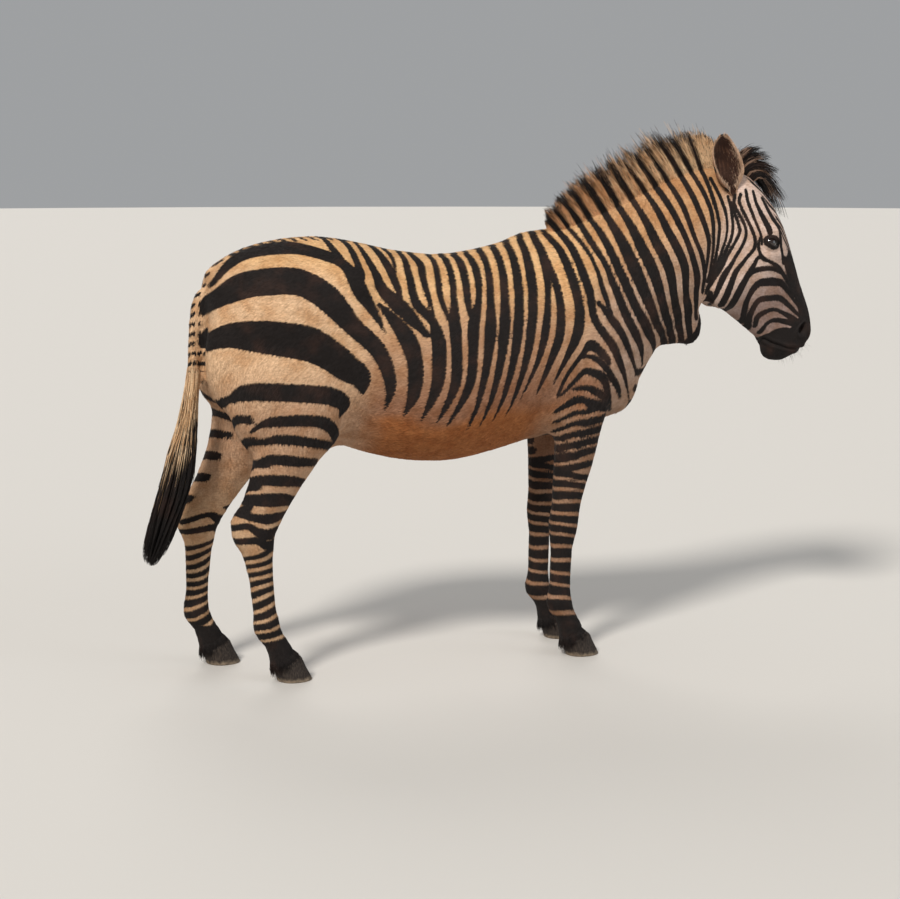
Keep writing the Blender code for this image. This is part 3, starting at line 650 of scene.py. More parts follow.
# %% Draw the stripes
BARREL = (
    ((-39.7, 105, 0.9), (-36, 100.5, 3.1), (-32.3, 95, 4.9), (-30.6, 89, 4.3), (-30.7, 81, 3.7),
     (-33, 74, 0.6)),
    ((-41.6, 121, 1.1), (-39.8, 113.5, 2.6), (-38.2, 108.6, 3.4), (-32.6, 103, 4), (-26.7, 96.2, 1.7)),
    ((-37.7, 120.6, 0.9), (-35.8, 117.3, 2.3), (-33.8, 110, 2.3), (-33, 106, 0.9)),
    ((-34.2, 120, 0.9), (-32.5, 117.2, 1.4), (-33.4, 112, 0.6)),
    ((-30.7, 120, 1.1), (-28.9, 117.6, 1.7), (-29.3, 111, 2.3), (-28.8, 105, 2.6), (-24.7, 99.7, 2.6),
     (-23.6, 93.5, 4), (-24.4, 82.5, 3.4), (-28.2, 72.4, 0.6)),
    ((-26.6, 119, 0.9), (-24.7, 115, 2.3), (-25.3, 110.3, 2), (-24.3, 101, 0.9)),
    ((-22.5, 119, 0.9), (-20, 116.5, 1.7), (-21.4, 106.8, 1.8), (-19.7, 99, 0.9)),
    ((-18.8, 119, 0.9), (-16.2, 116.5, 2), (-17.6, 105.3, 2), (-18.4, 98.7, 3.4), (-18.5, 92, 3.1),
     (-19.2, 82.4, 2.9), (-23.7, 71.7, 0.6)),
    ((-13.7, 119, 1.1), (-12.4, 115.7, 2.3), (-13.6, 105.2, 2), (-13.4, 100, 1)),
    ((-8.9, 119, 1.4), (-8.9, 112.6, 2.3), (-10.3, 105.2, 1.8), (-12.9, 98.5, 3.4), (-13.7, 91.8, 2.9),
     (-15, 82.2, 2.6), (-20.7, 70.7, 0.6)),
    ((-4.6, 121, 2), (-5.4, 113, 2), (-6.8, 105, 2.3), (-8, 97, 3.4), (-9.5, 89, 2.6), (-12, 77.8, 1.7),
     (-14.6, 69.2, 0.6)),
    2,
    ((7.6, 123, 1.7), (6.9, 112.3, 2.9), (6.2, 104.7, 2.9), (4.6, 96.5, 2.9), (2.5, 88.3, 2.3),
     (-1.3, 77.2, 1.1), (-3.3, 72.6, 0.3)),
    ((11.3, 124, 2), (12.2, 114.9, 2.9), (11.2, 105.9, 2), (9.2, 96.3, 2.6), (6.4, 88.1, 1.7),
     (0.5, 76.2, 0.3)),
    ((13.3, 115.4, 1.4), (14.9, 105, 2.6), (14, 95.5, 2.9), (10.7, 87.9, 2.3), (6.2, 78.4, 0.6)),
    ((14.6, 124, 1.7), (18.2, 116.4, 2.6), (20.9, 102.8, 2.9), (20, 95.3, 3.4), (15.4, 87.6, 1.7),
     (11.7, 81, 0.6)),
)
RUMP = (
    ((-83.5, 110, 0.8), (-79, 115, 1.6), (-72.5, 118.5, 2), (-62, 120, 2.9), (-54.5, 118.5, 2.9),
     (-49, 116, 2.8), (-46.5, 112, 4), (-45, 108.5, 4.2), (-41.5, 103, 2.6), (-38.5, 97, 0.5)),
    ((-51.5, 124, 1.1), (-50, 119.5, 2), (-47.5, 114.5, 1.7)),
    ((-46, 123, 1.4), (-44.5, 119, 2), (-44.4, 112.5, 2.3)),
    ((-85, 102, 0.8), (-84, 105.3, 3.1), (-77, 110, 5.7), (-70, 111.5, 6.6), (-63, 111.5, 6.7),
     (-58, 109.5, 6.9), (-54, 106.5, 6.9), (-50.5, 102.5, 6), (-47.5, 99, 4.9), (-40.5, 92, 4.3),
     (-37.3, 83, 3), (-38.3, 75, 0.3)),
    ((-85.2, 93.5, 1.5), (-84, 95.5, 4), (-80, 97, 6.2), (-74, 97, 8), (-66, 96, 8.9), (-60, 94.7, 8.9),
     (-54.5, 91.8, 8), (-49.5, 88, 7.1), (-45.5, 85, 5.2), (-45, 80.3, 0.6)),
    ((-80, 79.3, 1.2), (-78.3, 81.4, 3.4), (-73.5, 82.2, 4.6), (-57.5, 81, 4.6), (-51.5, 79.2, 4.6),
     (-50, 77.3, 3.4), (-51.4, 74.3, 0.6)),
    ((-75.8, 71, 0.8), (-73, 73.2, 1.8), (-69.5, 74, 2.9), (-60, 74, 3.1), (-55, 72.5, 3.4),
     (-52.5, 69.5, 2.9), (-50, 66, 1.6)),
    ((-75.3, 68, 0.9), (-68, 69, 2.6), (-60, 68, 2.6), (-54, 66.5, 2.4), (-50.5, 64.5, 1.6)),
    ((-74.5, 62, 1.1), (-70.5, 63.4, 2.6), (-65.5, 63, 2.9), (-58, 62, 2.3)),
    ((-76, 57, 1), (-73, 57.6, 2.6), (-68, 57.5, 3.1), (-64, 57, 2.9), (-59, 55.5, 2)),
    ((-78.5, 51.8, 2), (-74.5, 52.1, 3.1), (-70.5, 52.1, 3.7), (-66.5, 51.9, 3.4), (-61, 50.5, 2)),
    ((-82, 49, 1.4), (-74.5, 47.2, 2.2), (-71, 46.8, 2.9), (-67.5, 47.3, 2.3), (-62, 48.5, 1.4)),
    ((-84, 43, 1.6), (-77.5, 45, 1.7), (-74, 43.3, 2.3), (-70.5, 42.5, 2.9), (-65, 44.5, 1.8)),
    ((-84, 40, 1.6), (-75, 41, 2), (-71.3, 39.4, 2.3), (-66, 41, 1.4)),
)
NECK = (
    ((18.5, 125, 1.7), (21.9, 118, 2.6), (23.1, 111.9, 2.6), (24.6, 105.5, 2.6), (25.8, 98.4, 2.3),
     (31, 91.1, 2.6), (33.1, 86.7, 2.6), (37.2, 78.1, 0.9)),
    ((27.2, 103.4, 1.1), (31.5, 98.1, 2.6), (33.6, 95.2, 2.6), (36.3, 90.8, 2.3), (39, 85.6, 1.4)),
    ((21.5, 126, 1.4), (26.2, 117.9, 1.4), (27.6, 113.5, 1.4), (29.4, 106.1, 2), (31.9, 98.7, 0.6)),
    ((23.6, 132, 1.7), (27.4, 121.8, 2), (31.2, 113.9, 2), (33.9, 105.9, 2.6), (37.1, 97.9, 2.9),
     (41.5, 90.7, 2.6), (42.8, 86.4, 1.1)),
    ((26.5, 132, 2.3), (29.6, 126, 1.7), (31.8, 121.7, 2.3), (36.5, 109.8, 2.9), (39.8, 101.8, 2.9),
     (44.5, 94.6, 3.4), (48.1, 89.5, 2)),
    ((31, 135, 1.6), (34.7, 126.2, 2.3), (36.7, 121.7, 3.1), (40.1, 113.7, 4), (43.2, 105.6, 3.7),
     (47.4, 97.3, 2.9), (52.1, 91.5, 2.3)),
    2,
    ((43.5, 139.5, 1.4), (48.6, 130.4, 1.8), (52.7, 121.5, 2.6), (56.6, 113.3, 2.7), (57.6, 105.7, 2.2),
     (59.5, 99.6, 2.9), (61.2, 93.4, 2)),
    ((47.5, 140, 1.7), (52.9, 130.4, 2), (57.2, 121.4, 1.8), (60, 113.8, 2), (61.5, 108.5, 2.3),
     (62, 102.6, 1.8), (63.5, 97, 1.6)),
    ((52, 140.5, 1.4), (57, 130.4, 1.7), (60.1, 121.4, 1.4), (62.5, 115.8, 1.4), (64, 109.9, 1.4),
     (64.2, 104.8, 1.1)),
    ((57, 141, 1.6), (61.5, 130.3, 1.8), (64.6, 121.3, 1.5), (64.8, 117.2, 1.2), (64.4, 110.8, 1)),
    ((60.5, 141.5, 1.5), (65.5, 129.7, 1.4), (66.5, 120.1, 1.1), (66.1, 111.9, 1), (65.4, 107.9, 1)),
    ((64, 142, 1.4), (66.5, 132.9, 1.3), (68.3, 125.3, 1.1), (68.3, 120.6, 1.1), (67.4, 113.6, 1.1),
     (66.2, 108, 1)),
    ((66.5, 104.5, 1.4), (66.8, 99, 3.4), (65.8, 93, 4.6), (62, 89.5, 3.4)),
    ((66.8, 138, 1.2), (70, 130, 1.1), (70.9, 125.9, 0.9), (70.8, 120.6, 0.8), (68.2, 113, 1.1),
     (65.4, 105.3, 0.9)),
)
FACE = (
    ((71.5, 132.8, 0.9), (72.5, 128.2, 0.9), (72.5, 121.2, 0.8), (68.8, 112.4, 1.1), (65.3, 104.4, 0.9)),
    ((72.5, 130.8, 0.9), (74.4, 124.4, 0.9), (74.4, 121.5, 0.9), (70.5, 114.2, 0.9), (65.8, 106.5, 1.1)),
    ((73.8, 133.1, 0.9), (73.5, 130.2, 0.9), (76.6, 122, 0.9), (73, 114.1, 1.1), (69.8, 109.5, 1.7),
     (67.4, 102, 1.1)),
    ((75.4, 133.4, 0.9), (75.1, 130.2, 0.9), (79.5, 119.5, 1.1), (76.4, 114.1, 1.1), (72.9, 109.5, 1.7),
     (70.4, 101.1, 2)),
    ((80.9, 120.6, 0.7), (80.6, 118.1, 0.9), (81.3, 115.8, 0.9), (83.1, 114.2, 0.9), (85.5, 113.1, 1.0),
     (88.0, 111.8, 1.1), (90.5, 108.9, 1.2)),
    ((73.2, 99.3, 2.6), (74.9, 104.7, 2.4), (77.3, 109.0, 1.9), (79.2, 112.2, 1.4), (80.7, 114.9, 1.0),
     (82.9, 113.9, 0.9)),
    ((77.6, 109.5, 1.6), (80.1, 111.0, 1.6), (84.8, 111.5, 1.4), (88.5, 110.6, 1.5), (90.9, 108.4, 1.3),
     (93.7, 104.7, 1.2)),
    ((79.1, 95.1, 1.4), (78.6, 102.1, 1.7), (81, 106.6, 2), (83.9, 107.4, 2.3), (87.4, 107.3, 2.3),
     (90.3, 106.3, 1.7), (95.8, 100.4, 0.9)),
    ((81.3, 93.2, 1.7), (80.6, 97.1, 1.7), (82.1, 101.7, 1.7), (85.9, 102.5, 1.7), (90.1, 102.1, 1.7),
     (96.2, 97.3, 1.1)),
    ((82.9, 94, 1.1), (83.2, 97.1, 1.7), (87.1, 99, 1.1), (90.5, 98.1, 1.1), (94.1, 96.2, 1.7)),
    ((84.7, 92.1, 1.4), (86.4, 94.9, 1.1), (89.4, 95.7, 1.4), (97.4, 93.7, 1.7)),
    ((86.4, 89.5, 1.4), (88.6, 92.1, 1.1), (92.2, 92.7, 1.4), (96.7, 91.3, 1.7)),
    ((77.2, 134.6, 0.9), (77.7, 130.2, 1.0), (81.1, 121.7, 0.8), (81.6, 118.7, 0.7)),
    ((79.6, 134.2, 0.9), (80.3, 130.2, 1.1), (83.3, 124.3, 1.7), (84.1, 122, 1.5)),
    ((82.4, 132.2, 0.9), (84.9, 127.2, 1.3), (86.9, 124, 1.2), (87.7, 121, 1.1), (88.6, 117, 1.0),
     (89.6, 113, 1.2)),
)
SHOULDER = (
    ((13.3, 77.4, 0.9), (16.2, 83.3, 1.1), (21.5, 89.3, 1.4), (24.5, 91.4, 2.6), (28.6, 88.1, 1.7),
     (29.8, 86.1, 0.9)),
    ((21.1, 88.1, 0.9), (23.4, 88.3, 1.1), (27.2, 86.2, 1.7), (32.7, 79.2, 1.7), (35, 75.6, 0.9)),
    ((14.4, 77.6, 0.8), (20.4, 83, 1.4), (22.8, 84.1, 1.7), (27.4, 81.9, 2.3), (30.9, 75.2, 0.9)),
    ((17.9, 79.2, 0.8), (21.8, 79.4, 1.4), (25, 78.4, 2), (29.6, 75.6, 1.7), (33, 71.6, 1.1)),
    ((12.7, 72.7, 0.8), (18.6, 75.8, 2), (21.8, 75.8, 1.7), (24.9, 74.4, 2.6), (29.5, 73.5, 2.3)),
    ((13.2, 69.7, 0.9), (18.7, 72.2, 1.2), (21.7, 72.5, 1.4), (25.5, 73.4, 1.7)),
    ((13.9, 66.8, 1), (18.8, 69.3, 1.3), (21.7, 69.5, 1.8), (29.5, 70.4, 1.9)),
    2,
    ((13.8, 57.8, 1.6), (16.7, 59.3, 2.2), (19.3, 59.8, 2.1), (22.2, 60.7, 1.9), (28, 61.4, 1.6)),
    ((13.5, 54.9, 1.6), (17, 55.9, 1.9), (22, 56.9, 1.8), (28, 57.6, 1.4)),
)
SPLINE_STEPS = 7
EVEN_STEPS = 40
SPREAD_BODY = 1.07           # stripes are this much broader than their lines say
SPREAD_NECK = 1.06
SPREAD_FACE = 1.12
SPREAD_SHOULDER = 1.20


def smooth_line(line):
    """A Catmull-Rom curve through the points of a line, in metres."""
    points = np.array(line, dtype=float) / 100.0
    padded = np.vstack([2 * points[0] - points[1], points, 2 * points[-1] - points[-2]])
    share = np.linspace(0.0, 1.0, SPLINE_STEPS, endpoint=False)[:, None]
    pieces = []
    for a, b, c, d in zip(padded, padded[1:], padded[2:], padded[3:]):
        bend = 2 * b + (c - a) * share + (2 * a - 5 * b + 4 * c - d) * share ** 2
        pieces.append(0.5 * (bend + (3 * b - a - 3 * c + d) * share ** 3))
    return np.vstack(pieces + [points[-1:]])


def evenly(line):
    """The same curve with its points spread evenly along it."""
    steps = np.linalg.norm(np.diff(line[:, :2], axis=0), axis=1)
    travelled = np.concatenate([[0.0], np.cumsum(steps)]) / steps.sum()
    wanted = np.linspace(0.0, 1.0, EVEN_STEPS)
    return np.stack([np.interp(wanted, travelled, line[:, k]) for k in range(3)], axis=1)


def onwards(line, length, keep):
    """The line led on past its last point, with this share of its width kept."""
    end, before = np.array(line[-1], float), np.array(line[-2], float)
    step = (end - before)[:2]
    step *= length / np.linalg.norm(step)
    return (*line, (*(end[:2] + step), end[2] * keep))


def draw(family):
    """Curves of one family. A number stands for that many more, spaced between its neighbours."""
    curves = []
    for index, entry in enumerate(family):
        if isinstance(entry, int):
            first = evenly(smooth_line(family[index - 1]))
            last = evenly(smooth_line(family[index + 1]))
            curves += [first + (last - first) * k / (entry + 1) for k in range(1, entry + 1)]
        else:
            curves.append(smooth_line(entry))
    return curves


def led_on(family, length, wanted):
    """A family whose lines are led on past their last point where that point passes the test."""
    return [
        entry if isinstance(entry, int) or not wanted(entry[-1]) else onwards(entry, length, 0.8)
        for entry in family
    ]


SPREADS = (
    (BARREL, SPREAD_BODY),
    (RUMP, SPREAD_BODY),
    (led_on(NECK, 6.0, lambda end: end[1] < 96), SPREAD_NECK),    # round the front of the neck
    (led_on(FACE, 2.4, lambda end: end[0] > 93), SPREAD_FACE),    # up to the bridge of the nose
    (SHOULDER, SPREAD_SHOULDER),
)
STRIPES = [curve * (1.0, 1.0, spread) for family, spread in SPREADS for curve in draw(family)]
print(len(STRIPES), "stripes on each side")

# %% [markdown]
# ## From lines to a number on the skin
# Every point is looked up in the side view. The left side is the mirror of the right with a slow
# drift added, since no zebra's sides match, and its hind leg stands further back, so the drawing
# leans with it. Rings on the shins, lines on the forehead, the gridiron on the croup and the dark
# line under the belly are rules of their own, because they repeat or wrap round the body.

# %% Darkness of a point
OUTSIDE = -0.05              # the depth given where a mark doesn't reach
LEFT_HIND_LEAN = -0.144      # how much further back the left hind hoof stands
LEFT_FORE_LEAN = 0.021
LEAN_TOP = 0.78
FOREHEAD_WAY = np.array((0.90, 0.0, 0.43))    # the way the forehead faces
NOSE_WAY = np.array((0.93, 0.0, 0.37))        # the way the bridge of the nose faces


def side_view(points):
    """Where each point lies in the drawing: x and z, with the left side's lean and drift undone."""
    x, y, z = points.T
    left = y > 0
    low = np.clip(1.0 - z / LEAN_TOP, 0.0, 1.0)
    lean = np.where(x < -0.30, LEFT_HIND_LEAN, LEFT_FORE_LEAN) * low
    body = ramp(y, 0.0, 0.10) * (x < 0.62)
    drift = 0.010 * np.sin(5.1 * x + 4.0 * z + 0.7) + 0.006 * np.sin(11.0 * z - 7.0 * x)
    swell = 0.007 * np.sin(6.3 * x - 3.0 * z + 2.1)
    return np.stack([x - left * lean + drift * body, z + swell * body], axis=1)


def inside_stripes(flat):
    """The greatest depth inside any stripe, negative outside, in metres."""
    depth = np.full(len(flat), OUTSIDE)
    for curve in STRIPES:
        low = curve[:, :2].min(axis=0) + OUTSIDE
        high = curve[:, :2].max(axis=0) - OUTSIDE
        near = np.flatnonzero(((flat > low) & (flat < high)).all(axis=1))
        if not len(near):
            continue
        spots = flat[near]
        best = np.full(len(near), OUTSIDE)
        for a, b in zip(curve, curve[1:]):
            run = b[:2] - a[:2]
            share = np.clip((spots - a[:2]) @ run / max(run @ run, 1e-12), 0.0, 1.0)
            away = np.linalg.norm(spots - a[:2] - share[:, None] * run, axis=1)
            best = np.maximum(best, (a[2] + (b[2] - a[2]) * share) / 2 - away)
        depth[near] = np.maximum(depth[near], best)
    return depth


def band(phase, share, period):
    """Depth inside bands that repeat once per unit of phase and cover this share of it."""
    off_centre = np.abs(phase - np.floor(phase) - 0.5)
    return (share / 2 - off_centre) * period


HIND_RINGS = (0.385, 0.0270)     # the highest ring's height, and the spacing of rings
FORE_RINGS = (0.548, 0.0300)
CROUP_BARS = 0.027               # the spacing of the short bars on the croup
CHEST_BARS = 0.046
THIGH_BARS = 0.062
FOREHEAD_LINES = 4.6             # lines on each half of the forehead


def leg_rings(points, flat):
    """Rings round the shins. They crowd together towards the hoof."""
    x, y, z = points.T
    hind = flat[:, 0] < -0.3
    top = np.where(hind, HIND_RINGS[0], FORE_RINGS[0])
    slant = np.where(hind, 0.30 * (flat[:, 0] + 0.72), -0.12 * (flat[:, 0] - 0.22))
    height = flat[:, 1] - slant + 0.004 * np.sin(38.0 * z + 25.0 * x) + 0.002 * np.sin(90.0 * y)
    down = np.maximum(top - height, 0.0)
    wide = np.where(hind, HIND_RINGS[1], FORE_RINGS[1])
    phase = (down - 0.35 * down ** 2) / wide + 0.05
    share = np.where(hind, 0.58 + 0.12 * ramp(z, 0.35, 0.15), 0.69 + 0.05 * ramp(z, 0.5, 0.2))
    rings = band(phase, share, wide * 0.8)
    on_leg = (height < top) & (np.abs(y) > 0.03) & ((x > 0.09) | hind & (x < -0.50))
    return np.where(on_leg, rings, OUTSIDE)


def gridiron(points):
    """Short bars across the croup and down the back of the dock."""
    x, y, z = points.T
    along = np.where(x > -0.80, x, -0.80 - (1.12 - z))
    bars = band(along / CROUP_BARS - 0.4 * np.abs(y) / CROUP_BARS, 0.46, CROUP_BARS)
    half = 0.018 + 0.034 * ramp(x, -0.80, -0.66) * ramp(x, -0.42, -0.52)
    on_top = np.minimum(bars, half - np.abs(y) + 0.006 * np.sin(400.0 * x))
    place = (x < -0.43) & ((z > 1.17) | (x < -0.79)) & (z > 0.86) & (np.abs(y) < 0.06)
    return np.where(place, on_top, OUTSIDE)


def forehead(points, normals):
    """Thin lines down the forehead that close in towards the bridge of the nose."""
    x, y, z = points.T
    facing = normals @ FOREHEAD_WAY
    width = 0.026 + 0.056 * ramp(z, 1.06, 1.34)
    share = 0.60 + 0.40 * ramp(z, 1.21, 1.11) * ramp(np.abs(y), 0.010, 0.030)
    phase = np.abs(y) / width * FOREHEAD_LINES + 0.22 + 0.3 * np.sin(18.0 * z)
    lines = band(phase, share, width / FOREHEAD_LINES)
    place = (z > 1.03) & (z < 1.42) & (x > 0.76)
    lines = np.minimum(lines, (facing - 0.58) * 0.03)
    return np.where(place, np.minimum(lines, (z - 1.035) * 0.15), OUTSIDE)


def chest_bars(points, normals, dark):
    """Bars across the breast that take over from the neck's stripes where the body faces forward."""
    x, y, z = points.T
    bars = band((z + 0.25 * np.abs(y) + 0.006 * np.sin(60.0 * y)) / CHEST_BARS, 0.48, CHEST_BARS)
    front = (x > 0.30) * ramp(normals[:, 0], 0.50, 0.72) * ramp(z, 0.87, 0.83) * (z > 0.62)
    return np.where(front > 0.5, bars, dark)


def thigh_bars(points, normals):
    """Bars that carry the thigh's stripes round its back, out of sight from the side."""
    x, y, z = points.T
    bars = band((z - 0.20 * np.abs(y) + 0.006 * np.sin(50.0 * y)) / THIGH_BARS + 0.10, 0.40, THIGH_BARS)
    place = np.minimum((-normals[:, 0] - 0.45) * 0.05, (np.abs(y) - 0.045) * 0.5)
    place = np.minimum(place, np.minimum(0.82 - z, z - 0.44) * 0.5)
    return np.where(x < -0.5, np.minimum(bars, place), OUTSIDE)


BRIDGE_Z = (0.937, 0.979, 1.027, 1.076, 1.120, 1.162, 1.200, 1.240)
BRIDGE_X = (0.974, 0.966, 0.948, 0.922, 0.900, 0.892, 0.889, 0.884)
MUZZLE_X = (0.840, 0.862, 0.881, 0.936, 0.953, 0.977, 1.000)
MUZZLE_Z = (0.890, 0.914, 0.927, 0.934, 0.949, 0.974, 1.000)


def eye_patch(points):
    """The dark skin round the eye, wider than high; its outer part is partly painted shade of the lids and
    lashes.
    """
    folded = to_left(points)
    outward, along, up = eye_axes(1)
    offset = folded - eye_centre(1)
    oval = np.hypot((offset @ along) / 0.0300, (offset @ up - 0.001) / 0.0215)
    return np.where(offset @ outward > 0.0, (1.0 - oval) * 0.019, OUTSIDE)


def darkness(points, normals):
    """How deep a point lies inside dark hair, in metres: above zero is dark."""
    x, y, z = points.T
    flat = side_view(points)
    dark = inside_stripes(flat)
    inward = -normals[:, 1] * np.sign(y)
    inner_thigh = ramp(inward, 0.25, 0.65) * ramp(z, 0.44, 0.52) * (z < 0.95) * (x < -0.3)
    inner_arm = 0.6 * ramp(inward, 0.55, 0.90) * ramp(z, 0.55, 0.62) * (z < 0.8) * (x > 0.0) * (x < 0.4)
    dark -= 0.06 * np.maximum(inner_thigh, inner_arm)
    dark = np.maximum(dark, leg_rings(points, flat))
    dark = np.maximum(dark, gridiron(points))
    dark = np.maximum(dark, forehead(points, normals))
    dark = np.maximum(chest_bars(points, normals, dark), thigh_bars(points, normals))
    belly_line = np.minimum(0.010 - np.abs(y), -0.07 - 0.1 * normals[:, 2])
    dark = np.maximum(dark, np.where((x > -0.36) & (x < 0.30) & (z < 0.75), belly_line, OUTSIDE))
    muzzle = np.interp(x, MUZZLE_X, MUZZLE_Z) - z + 0.003 * np.sin(120.0 * x)
    dark = np.maximum(dark, np.where(x > 0.84, np.minimum(muzzle, 0.02), OUTSIDE))
    dark = np.maximum(dark, eye_patch(points))
    top = 1.070 + 0.092 * ramp(np.abs(y), 0.016, 0.042) + 0.012 * np.sin(240.0 * np.abs(y)) - z
    bridge = np.minimum(x - np.interp(z, BRIDGE_Z, BRIDGE_X), top * 0.6)
    dark = np.maximum(dark, np.where((x > 0.84) & (z < 1.24), bridge, OUTSIDE))
    dark = np.maximum(dark, 0.024 - nostril_distance(points))
    fetlock = np.where(z < 0.125, 0.118 - z, OUTSIDE)
    return np.maximum(dark, fetlock)


skin_points = read_points(skin_mesh)
skin_normals = read_normals(skin_mesh)
skin_dark = darkness(skin_points, skin_normals)
print("dark share of the skin", round(float((skin_dark > 0).mean()), 2))

# %% [markdown]
# ## The pale ground between the stripes
# A zebra isn't black and white. The ground is cream on the croup and tan along the back, and darkens
# to a warm grey brown low on the barrel and a plain brown under the belly, where the stripes stop short.
# That darkening downwards is partly painted shade, under the belly mostly so; so is part of the
# darkness of thigh, throat, forearm and lower face.
# These are broad washes, so each is a blend by height or by length between two named colours.

# %% Ground colour of a point
CREAM = (0.71, 0.48, 0.30)
# The lower thigh's brown is partly painted shade.
THIGH_SHADED = (0.49, 0.31, 0.20)
BACK_TAN = (0.74, 0.47, 0.24)
# Mid and low barrel: the tan ground darkened downwards, partly as painted shade.
BARREL_MID = (0.49, 0.295, 0.18)
BARREL_LOW_SHADED = (0.30, 0.150, 0.088)
# Under the belly: mostly painted shade, over a warm brown ground.
BELLY_SHADE = (0.35, 0.130, 0.042)
NECK_TAN = (0.68, 0.405, 0.21)
# Darker tone along the crest: painted shade, to match the shaded mane.
CREST_SHADE = (0.52, 0.295, 0.150)
# The throat's grey brown is partly painted shade.
THROAT = (0.49, 0.345, 0.265)
SHANK = (0.55, 0.365, 0.225)
# The forearm's brown is partly painted shade.
FOREARM = (0.35, 0.21, 0.135)
CHEEK = (0.67, 0.52, 0.455)
# The lower face's brown grey is partly painted shade.
LOWER_FACE_SHADED = (0.295, 0.212, 0.190)
NOSE_BROWN = (0.12, 0.046, 0.027)
# Painted shade in the pit under each ear and in a thin ring round its root.
EAR_PIT_SHADE = (0.050, 0.024, 0.016)
# Painted shade on the inner side of the forelegs, where they face each other.
INNER_ARM_SHADE = (0.21, 0.110, 0.065)


def blend(first, second, share):
    first, second = np.atleast_2d(first), np.atleast_2d(second)
    return first + (second - first) * share[:, None]


def ground_colour(points, normals):
    x, y, z = points.T
    wave = 0.02 * np.sin(9.0 * x + 5.0 * z) + 0.012 * np.sin(23.0 * x - 17.0 * z)
    # The barrel darkens downwards, partly as painted shade.
    trunk = blend(BARREL_LOW_SHADED, BARREL_MID, ramp(z + wave, 0.76, 0.92))
    trunk = blend(trunk, BACK_TAN, ramp(z + wave, 0.92, 1.12))
    # Painted shade under the belly.
    belly_shading = ramp(z + wave, 0.760, 0.715) * (np.abs(x) < 0.44)
    trunk = blend(trunk, BELLY_SHADE, belly_shading)
    rump = blend(CREAM, BACK_TAN, ramp(z + wave, 1.10, 1.19))
    # The thigh darkens downwards, partly as painted shade.
    rump = blend(THIGH_SHADED, rump, ramp(z + wave, 0.72, 0.92))
    rump = blend(SHANK, rump, ramp(z + wave, 0.42, 0.64))
    # Painted shade along the crest, beside the mane.
    crest_shading = 0.75 * ramp(np.abs(y), 0.088, 0.040) * ramp(x, 0.16, 0.30) * (z > 1.15)
    neck = blend(THROAT, NECK_TAN, ramp(z - 0.45 * (x - 0.3), 0.95, 1.20))
    neck = blend(neck, CREST_SHADE, crest_shading)
    colour = blend(trunk, rump, ramp(x + wave, -0.36, -0.50))
    colour = blend(colour, neck, ramp(x + wave, 0.18, 0.38))
    foreleg = ramp(z + wave, 0.80, 0.66) * ramp(x, 0.03, 0.15)
    colour = blend(colour, FOREARM, foreleg)
    # The lower face is darker than the cheek partly as painted shade.
    head = blend(LOWER_FACE_SHADED, CHEEK, ramp(z + 0.55 * (0.85 - x), 1.00, 1.17))
    colour = blend(colour, head, ramp(x + 0.25 * (1.15 - z), 0.62, 0.72))
    # Painted shade on the inner forelegs.
    inner_arm = ramp(-normals[:, 1] * np.sign(y), 0.45, 0.80) * foreleg * (z > 0.48)
    colour = blend(colour, INNER_ARM_SHADE, inner_arm)
    up_ear, out, beside = ear_place(points)
    leaf, roll = ear_outline(np.clip(up_ear, 0.0, 1.0))
    off = np.hypot(beside, out - 0.4 * leaf / roll) / (leaf / roll)
    # Painted shade in and round the ear's pit.
    colour = blend(colour, EAR_PIT_SHADE, ramp(off, 1.22, 1.06) * (up_ear > 0.02) * (up_ear < 0.6))
    facing = normals @ NOSE_WAY
    bridge = ramp(facing, 0.50, 0.72) * ramp(z + 0.6 * np.abs(y), 1.19, 1.13) * (x > 0.84)
    return blend(colour, NOSE_BROWN, bridge)


# %% [markdown]
# ## One coat material for skin and tufts
# Black hair and pale hair differ only in colour, so a single material reads the two attributes
# just worked out. Noise of the size of a few hairs shakes the edge of each stripe, and broader
# noise mottles the ground. Hair scatters light from many tips, which a high roughness and a faint
# sheen give. Reading an attribute keeps skin, coat, mane and tail in step with no image at all.

# %% The coat material
INK = (0.0105, 0.0075, 0.0068, 1.0)
STRIPE_SCALE = 0.015         # the attribute runs from -1 to 1 over this depth


def add_node(tree, kind, **settings):
    node = tree.nodes.new(kind)
    for key, value in settings.items():
        if hasattr(node, key):
            setattr(node, key, value)
        else:
            node.inputs[key].default_value = value
    return node


def read_layer(tree, key, output="Fac"):
    return add_node(tree, "ShaderNodeAttribute", attribute_name=key).outputs[output]


def add_bump(tree, shader, height, strength, distance):
    bump = add_node(tree, "ShaderNodeBump", Strength=strength, Distance=distance)
    tree.links.new(height, bump.inputs["Height"])
    tree.links.new(bump.outputs["Normal"], shader.inputs["Normal"])


def plain_material(name, colour, roughness):
    material = bpy.data.materials.new(name)
    material.use_nodes = True
    shader = material.node_tree.nodes["Principled BSDF"]
    shader.inputs["Base Color"].default_value = (*colour, 1.0)
    shader.inputs["Roughness"].default_value = roughness
    return material, material.node_tree, shader


def noise(tree, scale, detail, stretch=None):
    """Noise in the object's own metres, drawn out along an axis if stretch is given."""
    place = add_node(tree, "ShaderNodeTexCoord")
    source = place.outputs["Object"]
    if stretch is not None:
        mapping = add_node(tree, "ShaderNodeMapping")
        mapping.inputs["Scale"].default_value = stretch
        tree.links.new(source, mapping.inputs["Vector"])
        source = mapping.outputs["Vector"]
    texture = add_node(tree, "ShaderNodeTexNoise", Scale=scale, Detail=detail)
    tree.links.new(source, texture.inputs["Vector"])
    return texture.outputs["Fac"]


def maths(tree, operation, first, second):
    node = add_node(tree, "ShaderNodeMath", operation=operation)
    for socket, value in zip(node.inputs, (first, second)):
        if isinstance(value, (int, float)):
            socket.default_value = value
        else:
            tree.links.new(value, socket)
    return node.outputs[0]


